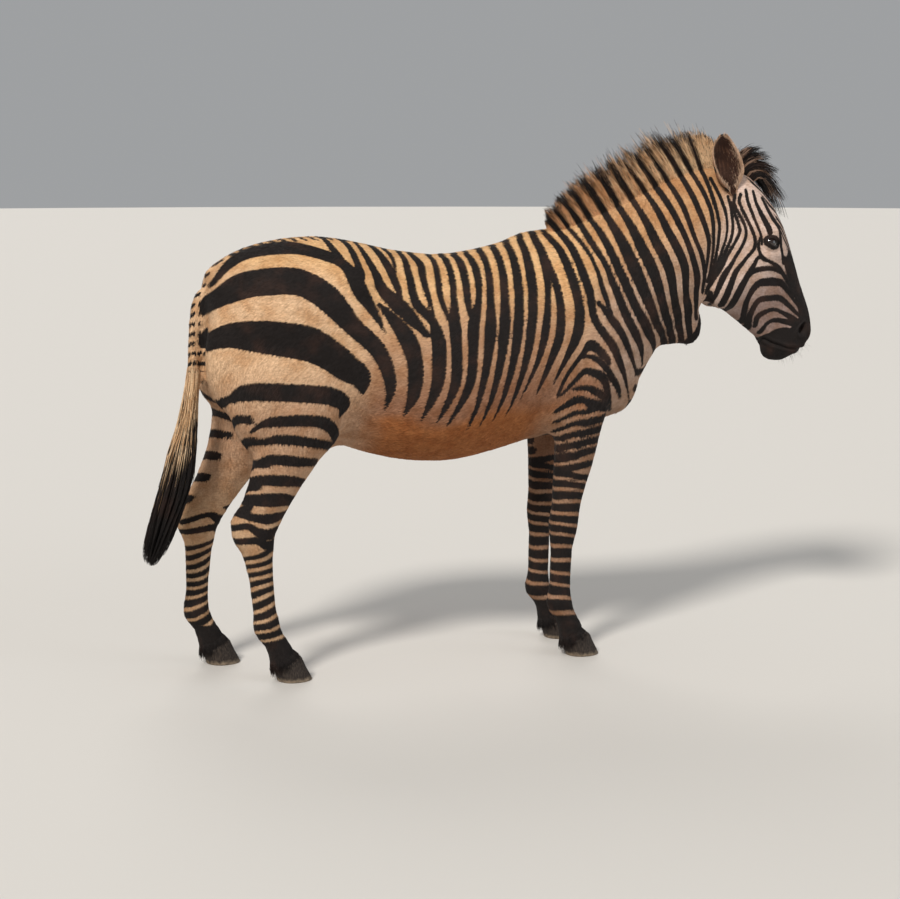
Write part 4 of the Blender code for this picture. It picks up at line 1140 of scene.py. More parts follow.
def mixed(tree, factor, first, second, mode="MIX"):
    node = add_node(tree, "ShaderNodeMix", data_type="RGBA", blend_type=mode)
    node.clamp_factor = True
    for index, value in ((0, factor), (6, first), (7, second)):
        if isinstance(value, (int, float, tuple)):
            node.inputs[index].default_value = value
        else:
            tree.links.new(value, node.inputs[index])
    return node.outputs[2]


def spread(tree, value, low, high, new_low=0.0, new_high=1.0):
    node = add_node(tree, "ShaderNodeMapRange", interpolation_type="SMOOTHSTEP")
    tree.links.new(value, node.inputs["Value"])
    for key, number in (("From Min", low), ("From Max", high), ("To Min", new_low), ("To Max", new_high)):
        node.inputs[key].default_value = number
    return node.outputs["Result"]


def coat_material(name, edge_shake, edge_blur):
    material, tree, shader = plain_material(name, (0.5, 0.35, 0.2), 0.78)
    dark = read_layer(tree, "dark")
    ground = read_layer(tree, "ground", "Color")
    shake = maths(tree, "SUBTRACT", noise(tree, 260.0, 2.0), 0.5)
    edge = maths(tree, "ADD", dark, maths(tree, "MULTIPLY", shake, edge_shake))
    black = spread(tree, edge, -edge_blur, edge_blur)
    # Broad mottle of the pale ground: partly dust, partly painted dapples of light and shade.
    mottle = spread(tree, noise(tree, 22.0, 5.0), 0.35, 0.70)
    dust = mixed(tree, mottle, (1.0, 1.0, 1.0, 1.0), (0.80, 0.70, 0.60, 1.0))
    streak = spread(tree, noise(tree, 1.0, 2.0, (90.0, 420.0, 240.0)), 0.30, 0.70)
    hairs = mixed(tree, streak, (0.84, 0.80, 0.76, 1.0), (1.10, 1.09, 1.07, 1.0))
    pale = mixed(tree, 1.0, mixed(tree, 1.0, ground, dust, "MULTIPLY"), hairs, "MULTIPLY")
    rust = mixed(tree, spread(tree, noise(tree, 14.0, 3.0), 0.45, 0.75), INK, (0.030, 0.015, 0.011, 1.0))
    tree.links.new(mixed(tree, black, pale, rust), shader.inputs["Base Color"])
    shader.inputs["Specular IOR Level"].default_value = 0.22
    shader.inputs["Sheen Weight"].default_value = 0.025
    shader.inputs["Sheen Roughness"].default_value = 0.5
    add_bump(tree, shader, noise(tree, 1.0, 3.0, (110.0, 520.0, 300.0)), 0.35, 0.002)
    return material


def store(mesh, key, values):
    """Keep a number for each point, under a name that a material can read."""
    layer = mesh.attributes.new(key, "FLOAT", "POINT")
    layer.data.foreach_set("value", values.astype(np.float32))


def paint(mesh, dark, ground):
    """Store the two attributes that the coat material reads."""
    store(mesh, "dark", np.clip(dark / STRIPE_SCALE, -1.0, 1.0))
    layer = mesh.attributes.new("ground", "FLOAT_COLOR", "POINT")
    full = np.ones((len(mesh.vertices), 4), dtype=np.float32)
    full[:, :3] = ground
    layer.data.foreach_set("color", full.ravel())


SKIN_COAT = coat_material("coat_skin", 0.35, 0.06)
skin_ground = ground_colour(skin_points, skin_normals)
paint(skin_mesh, skin_dark, skin_ground)
skin_mesh.materials.append(SKIN_COAT)
print("ground runs from belly", BELLY_SHADE, "to cream", CREAM)

# %% [markdown]
# ## Eyes and lids
# A zebra's eye is a near-black ball with a long level pupil, wet enough to mirror the sky. It is
# one smooth ball with the cornea standing proud, coloured by how far each point lies from the
# axis of sight. The rims of the lids are bare black skin, made as a thin tube along the same
# almond that shaped the opening, because a real rim is rounded and catches its own highlight.

# %% Eyes and lid rims
def tubes(paths, radii, sides=3):
    """Closed tapering tubes, one per path, joined in one array of points and one of triangles."""
    count, rows, _ = paths.shape
    along = unit(np.gradient(paths, axis=1))
    guide = np.array((0.13, 0.95, 0.28))
    across = unit(np.cross(along, guide))
    beside = np.cross(along, across)
    angles = np.arange(sides) * 2 * math.pi / sides
    spokes = across[:, :, None] * np.cos(angles)[:, None] + beside[:, :, None] * np.sin(angles)[:, None]
    points = paths[:, :, None] + spokes * radii[:, :, None, None]
    row, side = np.meshgrid(np.arange(rows - 1), np.arange(sides), indexing="ij")
    a = row * sides + side
    b = row * sides + (side + 1) % sides
    walls = np.stack([a, b, b + sides, a, b + sides, a + sides], axis=-1).reshape(-1, 3)
    fan = np.array([(0, k + 1, k) for k in range(1, sides - 1)])
    ends = np.vstack([fan, (rows - 1) * sides + fan[:, ::-1]])
    faces = np.vstack([walls, ends])
    faces = (faces[None] + (np.arange(count) * rows * sides)[:, None, None]).reshape(-1, 3)
    return points.reshape(-1, 3), faces


def eyeball(side, sign):
    outward, along, up = eye_axes(sign)
    rings, spokes = 34, 48
    polar = np.linspace(0.0, math.pi, rings)[1:-1]
    swing = np.arange(spokes) * 2 * math.pi / spokes
    radius = EYE_RADIUS * (1.0 + 0.045 * np.exp(-((polar / 0.50) ** 4)))
    flat = np.stack([np.cos(swing), np.sin(swing)], axis=1)
    a = np.concatenate([[0.0], (radius * np.sin(polar))[:, None].repeat(spokes, 1).ravel(), [0.0]])
    a_part = np.concatenate([[0.0], np.tile(flat[:, 0], rings - 2), [0.0]]) * a
    b_part = np.concatenate([[0.0], np.tile(flat[:, 1], rings - 2), [0.0]]) * a
    front = np.concatenate(
        [[EYE_RADIUS * 1.045], (radius * np.cos(polar))[:, None].repeat(spokes, 1).ravel(), [-EYE_RADIUS]]
    )
    points = eye_centre(sign) + front[:, None] * outward + a_part[:, None] * along + b_part[:, None] * up
    faces = []
    last = len(points) - 1
    for k in range(spokes):
        n = (k + 1) % spokes
        faces.append((0, 1 + k, 1 + n) if sign < 0 else (0, 1 + n, 1 + k))
        tail = 1 + (rings - 3) * spokes
        faces.append((last, tail + n, tail + k) if sign < 0 else (last, tail + k, tail + n))
        for r in range(rings - 3):
            s = 1 + r * spokes
            quad = (s + k, s + spokes + k, s + spokes + n, s + n)
            faces.append(quad if sign < 0 else quad[::-1])
    mesh = bpy.data.meshes.new(f"eyeball_{side}")
    mesh.from_pydata([tuple(p) for p in points], [], faces)
    mesh.shade_smooth()
    level = np.array((1.0, 0.0, 0.0))
    level = unit(level - outward * (level @ outward))
    high = np.cross(outward, level)
    offset = points - eye_centre(sign)
    oval = np.hypot((offset @ level) / 0.0078, (offset @ high) / 0.0034)
    reach = np.hypot(a_part, b_part) / 0.0128
    reach[front < 0] = 3.0
    store(mesh, "pupil", oval)
    store(mesh, "reach", reach)
    return mesh


def eye_material():
    material, tree, shader = plain_material("eye", (0.02, 0.01, 0.006), 0.04)
    pupil = read_layer(tree, "pupil")
    reach = read_layer(tree, "reach")
    fibres = spread(tree, noise(tree, 900.0, 2.0), 0.3, 0.7)
    iris = mixed(tree, fibres, (0.028, 0.011, 0.005, 1.0), (0.012, 0.005, 0.003, 1.0))
    white = mixed(tree, spread(tree, reach, 0.92, 1.06), iris, (0.020, 0.010, 0.007, 1.0))
    hole = spread(tree, pupil, 1.06, 0.90)
    tree.links.new(mixed(tree, hole, white, (0.003, 0.003, 0.004, 1.0)), shader.inputs["Base Color"])
    shader.inputs["Coat Weight"].default_value = 1.0
    shader.inputs["Coat Roughness"].default_value = 0.02
    return material


def bare_skin(name, colour, roughness):
    """Hairless black skin: fine pores and a little moisture."""
    material, tree, shader = plain_material(name, colour, roughness)
    grain = spread(tree, noise(tree, 700.0, 3.0), 0.35, 0.65)
    tone = mixed(tree, grain, (*colour, 1.0), tuple(c * 1.9 for c in colour) + (1.0,))
    tree.links.new(tone, shader.inputs["Base Color"])
    add_bump(tree, shader, noise(tree, 900.0, 3.0), 0.4, 0.0006)
    return material


RIM_STANDS = 0.0014          # how far the rims' middle lies off the eyeball
EYE_LOOK = eye_material()
LID_LOOK = bare_skin("lid_skin", (0.014, 0.010, 0.009), 0.32)


def on_ball(sign, a, b, radius):
    outward, along, up = eye_axes(sign)
    front = np.sqrt(np.maximum(radius ** 2 - a ** 2 - b ** 2, 0.0))
    return eye_centre(sign) + front[..., None] * outward + a[..., None] * along + b[..., None] * up


def lid_paths(sign):
    """Paths and radii of the rims of both lids."""
    share = np.linspace(-1.0, 1.0, 33)
    top, bottom = almond_edge(share)
    a = share * ALMOND_HALF
    rims = [on_ball(sign, a, edge, EYE_RADIUS + RIM_STANDS) for edge in (top, bottom)]
    return np.array(rims), np.array([0.0015 + 0.0003 * (1 - share ** 2)] * 2)


for side, sign in SIDES.items():
    ball = link_object(f"eyeball_{side}", eyeball(side, sign))
    ball.data.materials.append(EYE_LOOK)
    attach(ball, "root")
    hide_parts(f"eye_{side}")
    rim_paths, rim_radii = lid_paths(sign)
    rim = link_object(f"lid_rims_{side}", mesh_from("rims", *tubes(rim_paths, rim_radii, sides=8)))
    rim.data.shade_smooth()
    rim.data.materials.append(LID_LOOK)
    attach(rim, "root")
print("two eyes of radius", round(EYE_RADIUS, 4))

# %% [markdown]
# ## Ears
# A long leaf rolled into a cup: tight at the root, wide in the middle, opening outwards, dark
# inside, partly as painted shade, with a pale rim and a tan back. The sheet is a grid of two shares,
# one from root to tip and one from edge to edge, bent round the rib and given a wall that thins towards its
# edge.
# Working in those two shares makes the rim, the hollow and the bands on the back easy to name.

# %% Ears
EAR_WALL = 0.0042
EAR_ROWS, EAR_COLUMNS = 44, 31
# The ear's hollow is dark partly as painted shade.
EAR_HOLLOW_SHADED = (0.046, 0.021, 0.014)
EAR_RIM = (0.62, 0.43, 0.31)
EAR_BACK = (0.31, 0.17, 0.105)


def ear_sheet(sign, u, v):
    """Place, inward direction and wall of the ear's sheet at u, edge to edge, and v, root to tip."""
    base = EAR_BASE * (1, sign, 1)
    along, opening, across = ear_axes(sign)
    leaf, roll = ear_outline(v)
    radius = leaf / roll
    wave = 0.0010 * np.sin(9.0 * v + 3.0 * u) * np.abs(u) ** 3
    curl = 0.006 * ramp(v, 0.80, 1.0)
    out, over = np.sin(u * roll), 1 - np.cos(u * roll)
    centre = base + along * EAR_LENGTH * v[..., None] - opening * (radius * 0.6 - curl - wave)[..., None]
    place = centre + across * (radius * out)[..., None] + opening * (radius * over)[..., None]
    inward = opening * np.cos(u * roll)[..., None] - across * out[..., None]
    wall = EAR_WALL * (1.0 - 0.62 * np.abs(u) ** 3) * (1.0 - 0.35 * v)
    folds = 0.0011 * np.cos(u * 9.0) * ramp(v, 0.05, 0.30) * ramp(v, 0.95, 0.60) * (np.abs(u) < 0.80)
    return place, inward, wall, folds, along


def ear_mesh(name, sign):
    u, v = np.meshgrid(np.linspace(-1, 1, EAR_COLUMNS), np.linspace(0, 1, EAR_ROWS))
    place, inward, wall, folds, _ = ear_sheet(sign, u, v)
    inner = place + inward * (wall / 2 + folds)[..., None]
    outer = place - inward * (wall / 2)[..., None]
    points = np.vstack([inner.reshape(-1, 3), outer.reshape(-1, 3)])
    row, column = np.meshgrid(np.arange(EAR_ROWS - 1), np.arange(EAR_COLUMNS - 1), indexing="ij")
    a = (row * EAR_COLUMNS + column).ravel()
    quads = np.stack([a, a + 1, a + 1 + EAR_COLUMNS, a + EAR_COLUMNS], axis=1)
    half = EAR_ROWS * EAR_COLUMNS
    edge = np.concatenate(
        [
            np.arange(EAR_COLUMNS),
            np.arange(1, EAR_ROWS) * EAR_COLUMNS + EAR_COLUMNS - 1,
            half - 2 - np.arange(EAR_COLUMNS - 1),
            (EAR_ROWS - 2 - np.arange(EAR_ROWS - 2)) * EAR_COLUMNS,
        ]
    )
    after = np.roll(edge, -1)
    rim = np.stack([edge, edge + half, after + half, after], axis=1)
    faces = np.vstack([quads, quads[:, ::-1] + half, rim])
    mesh = mesh_from(name, points, faces if sign < 0 else faces[:, ::-1])
    return mesh, np.tile(u.ravel(), 2), np.tile(v.ravel(), 2), np.repeat([1.0, 0.0], half)


def ear_colours(u, v, inside):
    """Darkness and ground of the ear: black tip and two bands on the back, pale rim, dark hollow that is
    partly painted shade.
    """
    shake = 0.02 * np.sin(5.0 * u + 7.0 * v) + 0.008 * np.sin(23.0 * u)
    back = blend(EAR_RIM, EAR_BACK, ramp(v + shake, 0.85, 0.55))
    edge = ramp(np.abs(u) + 0.5 * ramp(v, 0.86, 1.0) + shake, 0.80, 0.95)
    hollow = blend(EAR_HOLLOW_SHADED, EAR_RIM, edge)
    streak = np.sin(17.0 * u + 5.0 * v + 2.0 * np.sin(9.0 * v)) * np.sin(6.0 * v - 13.0 * u)
    hollow = blend(hollow, (0.12, 0.060, 0.038), ramp(streak, 0.1, 0.9) * (1 - edge) * ramp(v, 0.25, 0.55))
    ground = blend(back, hollow, inside)
    tip = (v + shake - 0.86) * 0.10
    bands = np.maximum(0.008 - 0.16 * np.abs(v - 0.50 + shake), 0.006 - 0.16 * np.abs(v - 0.16 + shake))
    dark = np.maximum(tip, bands) * (1 - inside) - 0.008 * inside
    return dark, ground


for side, sign in SIDES.items():
    mesh, u, v, inside = ear_mesh(f"ear_cup_{side}", sign)
    mesh.validate()
    paint(mesh, *ear_colours(u, v, inside))
    mesh.materials.append(SKIN_COAT)
    mesh.shade_smooth()
    ear = link_object(f"ear_cup_{side}", mesh)
    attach(ear, "root")
    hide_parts(f"ear_{side}")
print("ear", len(mesh.polygons), "faces")

# %% [markdown]
# ## Hoofs
# A zebra's hoof is small, steep and narrow. The horn grows down from the coronet in faint rings and
# scuffs pale at the ground. Rings are real ripples of a third of a millimetre here, so that they
# survive in the exported mesh, with dust and scratches left to the material.

# %% Hoofs
HOOF_PLACES = ("fore_right", "fore_left", "hind_right", "hind_left")


def tree_of(mesh):
    mesh.calc_loop_triangles()
    return BVHTree.FromPolygons([v.co for v in mesh.vertices], [t.vertices[:] for t in mesh.loop_triangles])


def rounded(mesh, levels, edge_angle, crease):
    """A copy of a mesh with a subdivision surface that keeps its sharp edges nearly sharp."""
    copy = mesh.copy()
    shape = bmesh.new()
    shape.from_mesh(copy)
    bmesh.ops.remove_doubles(shape, verts=shape.verts, dist=1e-5)
    layer = shape.edges.layers.float.new("crease_edge")
    for edge in shape.edges:
        if edge.is_manifold and edge.calc_face_angle() > edge_angle:
            edge[layer] = crease
    shape.to_mesh(copy)
    shape.free()
    item = link_object("round_source", copy)
    cut = item.modifiers.new("round", "SUBSURF")
    cut.levels = levels
    graph = bpy.context.evaluated_depsgraph_get()
    result = bpy.data.meshes.new_from_object(item.evaluated_get(graph))
    bpy.data.objects.remove(item)
    result.materials.clear()
    return result


CORONET_FRONT = 0.041        # the coronet reaches this far before its middle
CORONET_SLOPE = 0.36
HEEL_SHARE = 0.80
HOOF_MIDDLES = [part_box(f"hoof_{place}")[0][0] + CORONET_FRONT * HEEL_SHARE for place in HOOF_PLACES]


def coronet_height(points):
    """Height of the tilted top of the nearest hoof, at each point."""
    nearest = np.argmin([np.abs(points[:, 0] - x) for x in HOOF_MIDDLES], axis=0)
    ahead = points[:, 0] - np.array(HOOF_MIDDLES)[nearest]
    return HOOF_TOP + CORONET_SLOPE * (np.clip(ahead, -0.05, 0.05) - CORONET_FRONT)


def hoof_material():
    material, tree, shader = plain_material("hoof", (0.05, 0.038, 0.030), 0.68)
    shader.inputs["Specular IOR Level"].default_value = 0.22
    low = read_layer(tree, "low")
    grain = spread(tree, noise(tree, 1.0, 4.0, (500.0, 500.0, 60.0)), 0.35, 0.70)
    horn = mixed(tree, grain, (0.018, 0.013, 0.011, 1.0), (0.050, 0.038, 0.030, 1.0))
    patchy = maths(tree, "MULTIPLY", noise(tree, 90.0, 4.0), 0.8)
    dust = spread(tree, maths(tree, "ADD", low, patchy), 1.0, 1.7)
    tree.links.new(mixed(tree, dust, horn, (0.30, 0.23, 0.16, 1.0)), shader.inputs["Base Color"])
    add_bump(tree, shader, noise(tree, 1.0, 3.0, (420.0, 420.0, 90.0)), 0.5, 0.0008)
    return material


HOOF_EDGE = math.radians(50)     # edges sharper than this stay sharp
RING_SPACING = 0.0062
RING_HEIGHT = 0.00035
HOOF_LOOK = hoof_material()
for place in HOOF_PLACES:
    mesh = rounded(NODES[f"hoof_{place}"].data, 3, HOOF_EDGE, 0.88)
    points, normals = read_points(mesh), read_normals(mesh)
    wall = ramp(np.abs(normals[:, 2]), 0.75, 0.45) * ramp(points[:, 2], 0.002, 0.010)
    slope = points[:, 2] + 0.25 * (points[:, 0] - points[:, 0].mean())
    ripple = RING_HEIGHT * np.sin(slope * 2 * math.pi / RING_SPACING) + 0.0005 * np.sin(slope * 95.0)
    band_top = 0.0004 * np.exp(-(((points[:, 2] - 0.062) / 0.007) ** 2))
    points += normals * ((ripple + band_top - 0.0006) * wall)[:, None]
    below = coronet_height(points) - points[:, 2]
    tuck = 0.0055 * ramp(below, 0.011, -0.001)
    middle = points.mean(axis=0)
    points -= unit((points - middle) * (1, 1, 0)) * tuck[:, None]
    write_points(mesh, points)
    store(mesh, "low", ramp(points[:, 2], 0.035, 0.0))
    mesh.materials.append(HOOF_LOOK)
    mesh.shade_smooth()
    mesh.set_sharp_from_angle(angle=HOOF_EDGE)
    hoof = link_object(f"hoof_wall_{place}", mesh)
    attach(hoof, "root")
    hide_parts(f"hoof_{place}")
print("four hoofs")

# %% [markdown]
# ## Mane and forelock
# The mane of a mountain zebra stands like a brush, short at the withers and longest behind the
# ears, with the neck's stripes running up through it to dark tips. Each strand is a thin tapering
# tube. Roots are scattered over a strip of the crest, and a look from each root along its hair
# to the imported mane's surface tells how long it is, so the brush keeps the true outline.

# %% Mane and forelock
MANE_STRANDS = 7400
MANE_LOCKS = 92              # neighbouring strands lean together into this many locks
MANE_HALF_WIDTH = 0.026
MANE_START, MANE_END = 0.165, 0.775
MANE_LONGEST = 0.175
MANE_THICK = 0.00105         # radius of a strand at its root
FORELOCK_THICK = 0.00085
MANE_FULL = 0.013            # nearer the middle than this a strand has its full length
# The mane's two tones are paler than the neck's: painted light, making up for the shade between strands.
MANE_BACK_LIT = (0.84, 0.48, 0.25)
MANE_FRONT_LIT = (1.0, 0.76, 0.49)
MANE_TIP = (0.60, 0.33, 0.18)
FORELOCK_STRANDS = 1100
FORELOCK_LOCKS = 13
FORELOCK_ROWS = 7
HAIR_LOOK = coat_material("coat_long", 0.15, 0.25)
skin_faces = triangles_of(skin_mesh)


def strand_map(mesh, strands, rows, sides):
    """A bake map: each strand gets a small upright strip, root at the bottom and tip at the top."""
    columns = math.ceil(math.sqrt(strands))
    loops = np.empty(len(mesh.loops), dtype=np.int32)
    mesh.loops.foreach_get("vertex_index", loops)
    strand = loops // (rows * sides)
    row = (loops // sides) % rows
    side = loops % sides
    u = (strand % columns + 0.15 + 0.7 * side / sides) / columns
    v = (strand // columns + 0.10 + 0.8 * row / (rows - 1)) / columns
    layer = mesh.uv_layers.new(name="OFBake")
    layer.data.foreach_set("uv", np.stack([u, v], axis=1).astype(np.float32).ravel())


def hair_piece(name, paths, radii, dark, ground, replaced=()):
    """Joins strands in one piece. dark and ground are per strand and row."""
    strands, rows, _ = paths.shape
    mesh = mesh_from(name, *tubes(paths, radii))
    paint(mesh, np.repeat(dark.reshape(-1), 3), np.repeat(ground.reshape(-1, 3), 3, axis=0))
    strand_map(mesh, strands, rows, 3)
    mesh.materials.append(HAIR_LOOK)
    mesh.shade_smooth()
    item = link_object(name, mesh)
    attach(item, "root")
    if replaced:
        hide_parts(*replaced)


def areas(a, b, c):
    return np.linalg.norm(np.cross(b - a, c - a), axis=1) / 2


def draw_spots(weights, count):
    """Seeded picks among triangles by weight: which triangle, and the share of each corner."""
    heap = np.cumsum(weights)
    steps = (np.arange(count) + rng.random(count)) / count * heap[-1]
    u, v = rng.random(count), rng.random(count)
    fold = u + v > 1
    u, v = np.where(fold, 1 - u, u), np.where(fold, 1 - v, v)
    return np.searchsorted(heap, steps), np.stack([1 - u - v, u, v], axis=1)


def from_corners(values, corners, shares):
    return np.einsum("nk,nk...->n...", shares, values[corners])


def mane_strands():
    a, b, c = (skin_points[skin_faces[:, k]] for k in range(3))
    x, y, z = ((a + b + c) / 3).T
    on_crest = (np.abs(y) < MANE_HALF_WIDTH) & (x > MANE_START) & (x < MANE_END) & (z > 1.2)
    chosen, shares = draw_spots(areas(a, b, c) * on_crest, MANE_STRANDS * 2)
    spots = from_corners(skin_points, skin_faces[chosen], shares)
    normals = from_corners(skin_normals, skin_faces[chosen], shares)
    spots, normals = spots[normals[:, 2] > 0.3], normals[normals[:, 2] > 0.3]
    lean = ramp(spots[:, 0], 0.55, 0.78)
    way = np.stack([-0.52 + 0.62 * lean, spots[:, 1] * 9.0, np.full(len(spots), 0.86)], axis=1)
    way = unit(way + rng.normal(0.0, 0.035, (len(spots), 3)) * (1, 0.5, 1))
    tree = tree_of(NODES["mane"].data)
    lengths = np.zeros(len(spots))
    for k, (spot, direction) in enumerate(zip(spots, unit(way * (1, 0.0, 1)))):
        start, aim = Vector((spot[0], 0.20 * spot[1], spot[2])), Vector(direction)
        travelled = 0.0
        for _ in range(3):
            hit, _, _, far = tree.ray_cast(start, aim, 0.30)
            if hit is None:
                break
            travelled += far
            lengths[k] = travelled
            start = hit + aim * 1e-4
    keep = np.flatnonzero(lengths > 0.012)
    keep = keep[np.linspace(0, len(keep) - 1, min(MANE_STRANDS, len(keep))).astype(int)]
    return spots[keep], way[keep], lengths[keep]


roots, ways, lengths = mane_strands()
outer = ramp(np.abs(roots[:, 1]) + rng.normal(0.0, 0.003, len(roots)), MANE_FULL, MANE_HALF_WIDTH)
lock_x = np.sort(rng.uniform(MANE_START, MANE_END, MANE_LOCKS))
lock = np.abs(roots[:, :1] + 0.5 * roots[:, 1:2] - lock_x).argmin(axis=1)
lock_long = 0.96 + rng.normal(0.0, 0.06, MANE_LOCKS)
wisp = np.where(rng.random(MANE_LOCKS) < 0.45, 0.42, 0.10) * ramp(lock_x, 0.20, 0.46)
lock_tilt = rng.normal(0.0, 1.0, (MANE_LOCKS, 3)) * (0.05, 0.09, 0.0)
long_ones = 1.0 + wisp[lock] * rng.random(len(roots)) ** 3
lengths = lengths * lock_long[lock] * (1.0 - 0.80 * outer) * (1.0 + rng.normal(0.0, 0.06, len(roots)))
lengths = np.minimum(lengths * long_ones, MANE_LONGEST)
to_lock = np.stack([lock_x[lock] - roots[:, 0], -0.6 * roots[:, 1], 0 * lengths], axis=1)
to_lock = to_lock * (1 - outer)[:, None]
share = np.linspace(0.0, 1.0, 5)[None, :, None]
bend = lock_tilt[lock] + (-0.07, 0.0, -0.02) + rng.normal(0.0, 1.0, (len(roots), 3)) * (0.03, 0.03, 0.0)
tips = lengths[:, None] * bend + 0.72 * to_lock
paths = roots[:, None, :] - 0.003 * ways[:, None, :]
paths = paths + lengths[:, None, None] * ways[:, None, :] * share + tips[:, None, :] * share ** 2
thick = (MANE_THICK * (1.0 - 0.35 * outer))[:, None]
radii = thick * (1.0 - 0.75 * share[0, :, 0] ** 2)[None, :]
base = side_view(roots)
root_dark = inside_stripes(base) + 0.0015
tip_share = share[:, :, 0] + rng.normal(0.0, 0.10, (len(roots), 1))
mane_dark = np.maximum(root_dark[:, None] - 0.002 * share[:, :, 0], (tip_share - 0.90) * 0.06)
forward = ramp(roots[:, 0] + rng.normal(0.0, 0.06, len(roots)), 0.26, 0.62)
# Painted light: tones raised to make up for the shade between strands.
mane_lit_tone = blend(MANE_BACK_LIT, MANE_FRONT_LIT, forward)[:, None, :]
mane_ground = mane_lit_tone + (np.array(MANE_TIP) - mane_lit_tone) * 0.5 * share ** 1.5
hair_piece("mane_brush", paths, radii, mane_dark, mane_ground, ("mane",))
print(len(roots), "mane strands, longest", round(float(lengths.max()), 3))


def bezier(controls, rows):
    """Points along cubic curves. controls is an array of strands by 4 by 3."""
    t = np.linspace(0.0, 1.0, rows)[None, :, None]
    a, b, c, d = (controls[:, None, k] for k in range(4))
    return a * (1 - t) ** 3 + 3 * b * t * (1 - t) ** 2 + 3 * c * t * t * (1 - t) + d * t ** 3


FORELOCK_ROOTS = np.array(((0.748, 0.0, 1.404), (0.800, 0.0, 1.352)))
FORELOCK_TIPS = np.array(
    ((0.808, 0.0, 1.478), (0.866, 0.0, 1.476), (0.914, 0.0, 1.412), (0.930, 0.0, 1.345), (0.936, 0.0, 1.262))
)


def forelock_strands():
    count = FORELOCK_STRANDS
    along = rng.random(count)
    number = np.round(along * FORELOCK_LOCKS + rng.normal(0, 0.30, count))
    lock = np.clip(number, 0, FORELOCK_LOCKS) / FORELOCK_LOCKS
    start = FORELOCK_ROOTS[0] + (FORELOCK_ROOTS[1] - FORELOCK_ROOTS[0]) * along[:, None]
    start[:, 1] = rng.uniform(-0.020, 0.020, count)
    where = lock * (len(FORELOCK_TIPS) - 1)
    numbers = np.arange(len(FORELOCK_TIPS))
    tip = np.stack([np.interp(where, numbers, column) for column in FORELOCK_TIPS.T], axis=1)
    uneven = 0.90 + 0.12 * np.sin(lock * 40.0)
    tip = start + (tip - start) * (uneven * rng.uniform(0.68, 1.03, count))[:, None]
    tip[:, 1] = start[:, 1] * 0.7 + 0.012 * np.sin(lock * 57.0) + rng.normal(0, 0.004, count)
    tip += rng.normal(0, 0.0035, (count, 3))
    rise = unit(np.stack([0.25 + 0.25 * along, 0 * along, 1.0 - 0.35 * along], axis=1))
    reach = np.linalg.norm(tip - start, axis=1)[:, None]
    spots = np.array([skin_tree.find_nearest(Vector(p))[0] for p in start])
    third = start + (tip - start) * 0.72 + rise * reach * 0.22
    controls = np.stack([spots - rise * 0.004, spots + rise * reach * 0.42, third, tip], axis=1)
    return bezier(controls, FORELOCK_ROWS), lock


skin_tree = tree_of(skin_mesh)
paths, lock = forelock_strands()
rows = np.linspace(0.0, 1.0, FORELOCK_ROWS)
radii = (FORELOCK_THICK * (1 - 0.78 * rows ** 2))[None].repeat(len(paths), 0)
pale_lock = (np.round(lock * FORELOCK_LOCKS) % 4 == 1)[:, None] * (rows[None] < 0.75)
fore_dark = np.where(pale_lock, -0.006, 0.012) + rng.normal(0, 0.004, (len(paths), 1))
fore_ground = np.full((len(paths), FORELOCK_ROWS, 3), (0.34, 0.22, 0.16))
hair_piece("forelock_hair", paths, radii, fore_dark, fore_ground, ("forelock",))
print(len(paths), "forelock strands")

# %% [markdown]
# ## Tail brush
# The dock is short-haired flesh, and long hair springs from its lower half to a pointed brush,
# cream where it starts and black below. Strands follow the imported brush: at each height its
# width is found by looking outwards from its middle, and each strand keeps its place in it.

# %% Tail brush
TAIL_STRANDS = 1900
TAIL_ROWS = 10
TAIL_THICK = 0.0013          # radius of a strand at its root
TAIL_TURNS_BLACK = 0.655     # the height at which the cream turns black
DOCK_HAIR = 0.080            # how far up the dock the first long hairs grow


def sections_of(node, highest, lowest, levels):
    """Height, middle and half widths of a node that hangs down, at evenly spaced heights."""
    mesh = NODES[node].data
    points = read_points(mesh)
    tree = tree_of(mesh)
    heights = np.linspace(highest, lowest, levels)
    rows = []
    for z in heights:
        band_points = points[np.abs(points[:, 2] - z) < 0.05]
        guess = Vector((band_points[:, 0].mean(), 0.0, z))
        ends = []
        for way in ((1, 0, 0), (-1, 0, 0), (0, 1, 0)):
            start = guess - Vector(way) * 0.3
            hit = tree.ray_cast(start + Vector(way) * 0.6, -Vector(way), 0.6)[0]
            ends.append(hit if hit is not None else guess)
        middle = (ends[0].x + ends[1].x) / 2
        rows.append((z, middle, abs(ends[0].x - ends[1].x) / 2, abs(ends[2].y)))
    return np.array(rows)


low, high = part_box("tail_tuft")
tuft_rows = sections_of("tail_tuft", high[2] - 0.004, low[2] + 0.004, 28)
dock_rows = sections_of("tail_dock", high[2] + DOCK_HAIR, high[2] + 0.006, 5)
sections = np.concatenate([dock_rows, tuft_rows])
angle = rng.uniform(0, 2 * math.pi, TAIL_STRANDS)
out = np.sqrt(rng.random(TAIL_STRANDS)) * 0.97
inner = rng.random(TAIL_STRANDS)
top = tuft_rows[0, 0] + 0.012
start_z = top - 0.16 * inner ** 2 * (out > 0.3)
on_dock = (out > 0.55) & (rng.random(TAIL_STRANDS) < 0.13)
start_z = np.where(on_dock, top + DOCK_HAIR * rng.random(TAIL_STRANDS), start_z)
end_z = sections[-1, 0] + (0.30 * rng.random(TAIL_STRANDS) ** 3 + 0.10 * out ** 2 * rng.random(TAIL_STRANDS))
rows = np.linspace(0.0, 1.0, TAIL_ROWS)
z = start_z[:, None] + (end_z - start_z)[:, None] * rows
middle, half_x, half_y = (np.interp(-z, -sections[:, 0], sections[:, k]) for k in (1, 2, 3))
clump = np.round(angle * 7 / math.pi) * math.pi / 7
swing = angle[:, None] + (clump - angle)[:, None] * rows * 0.7
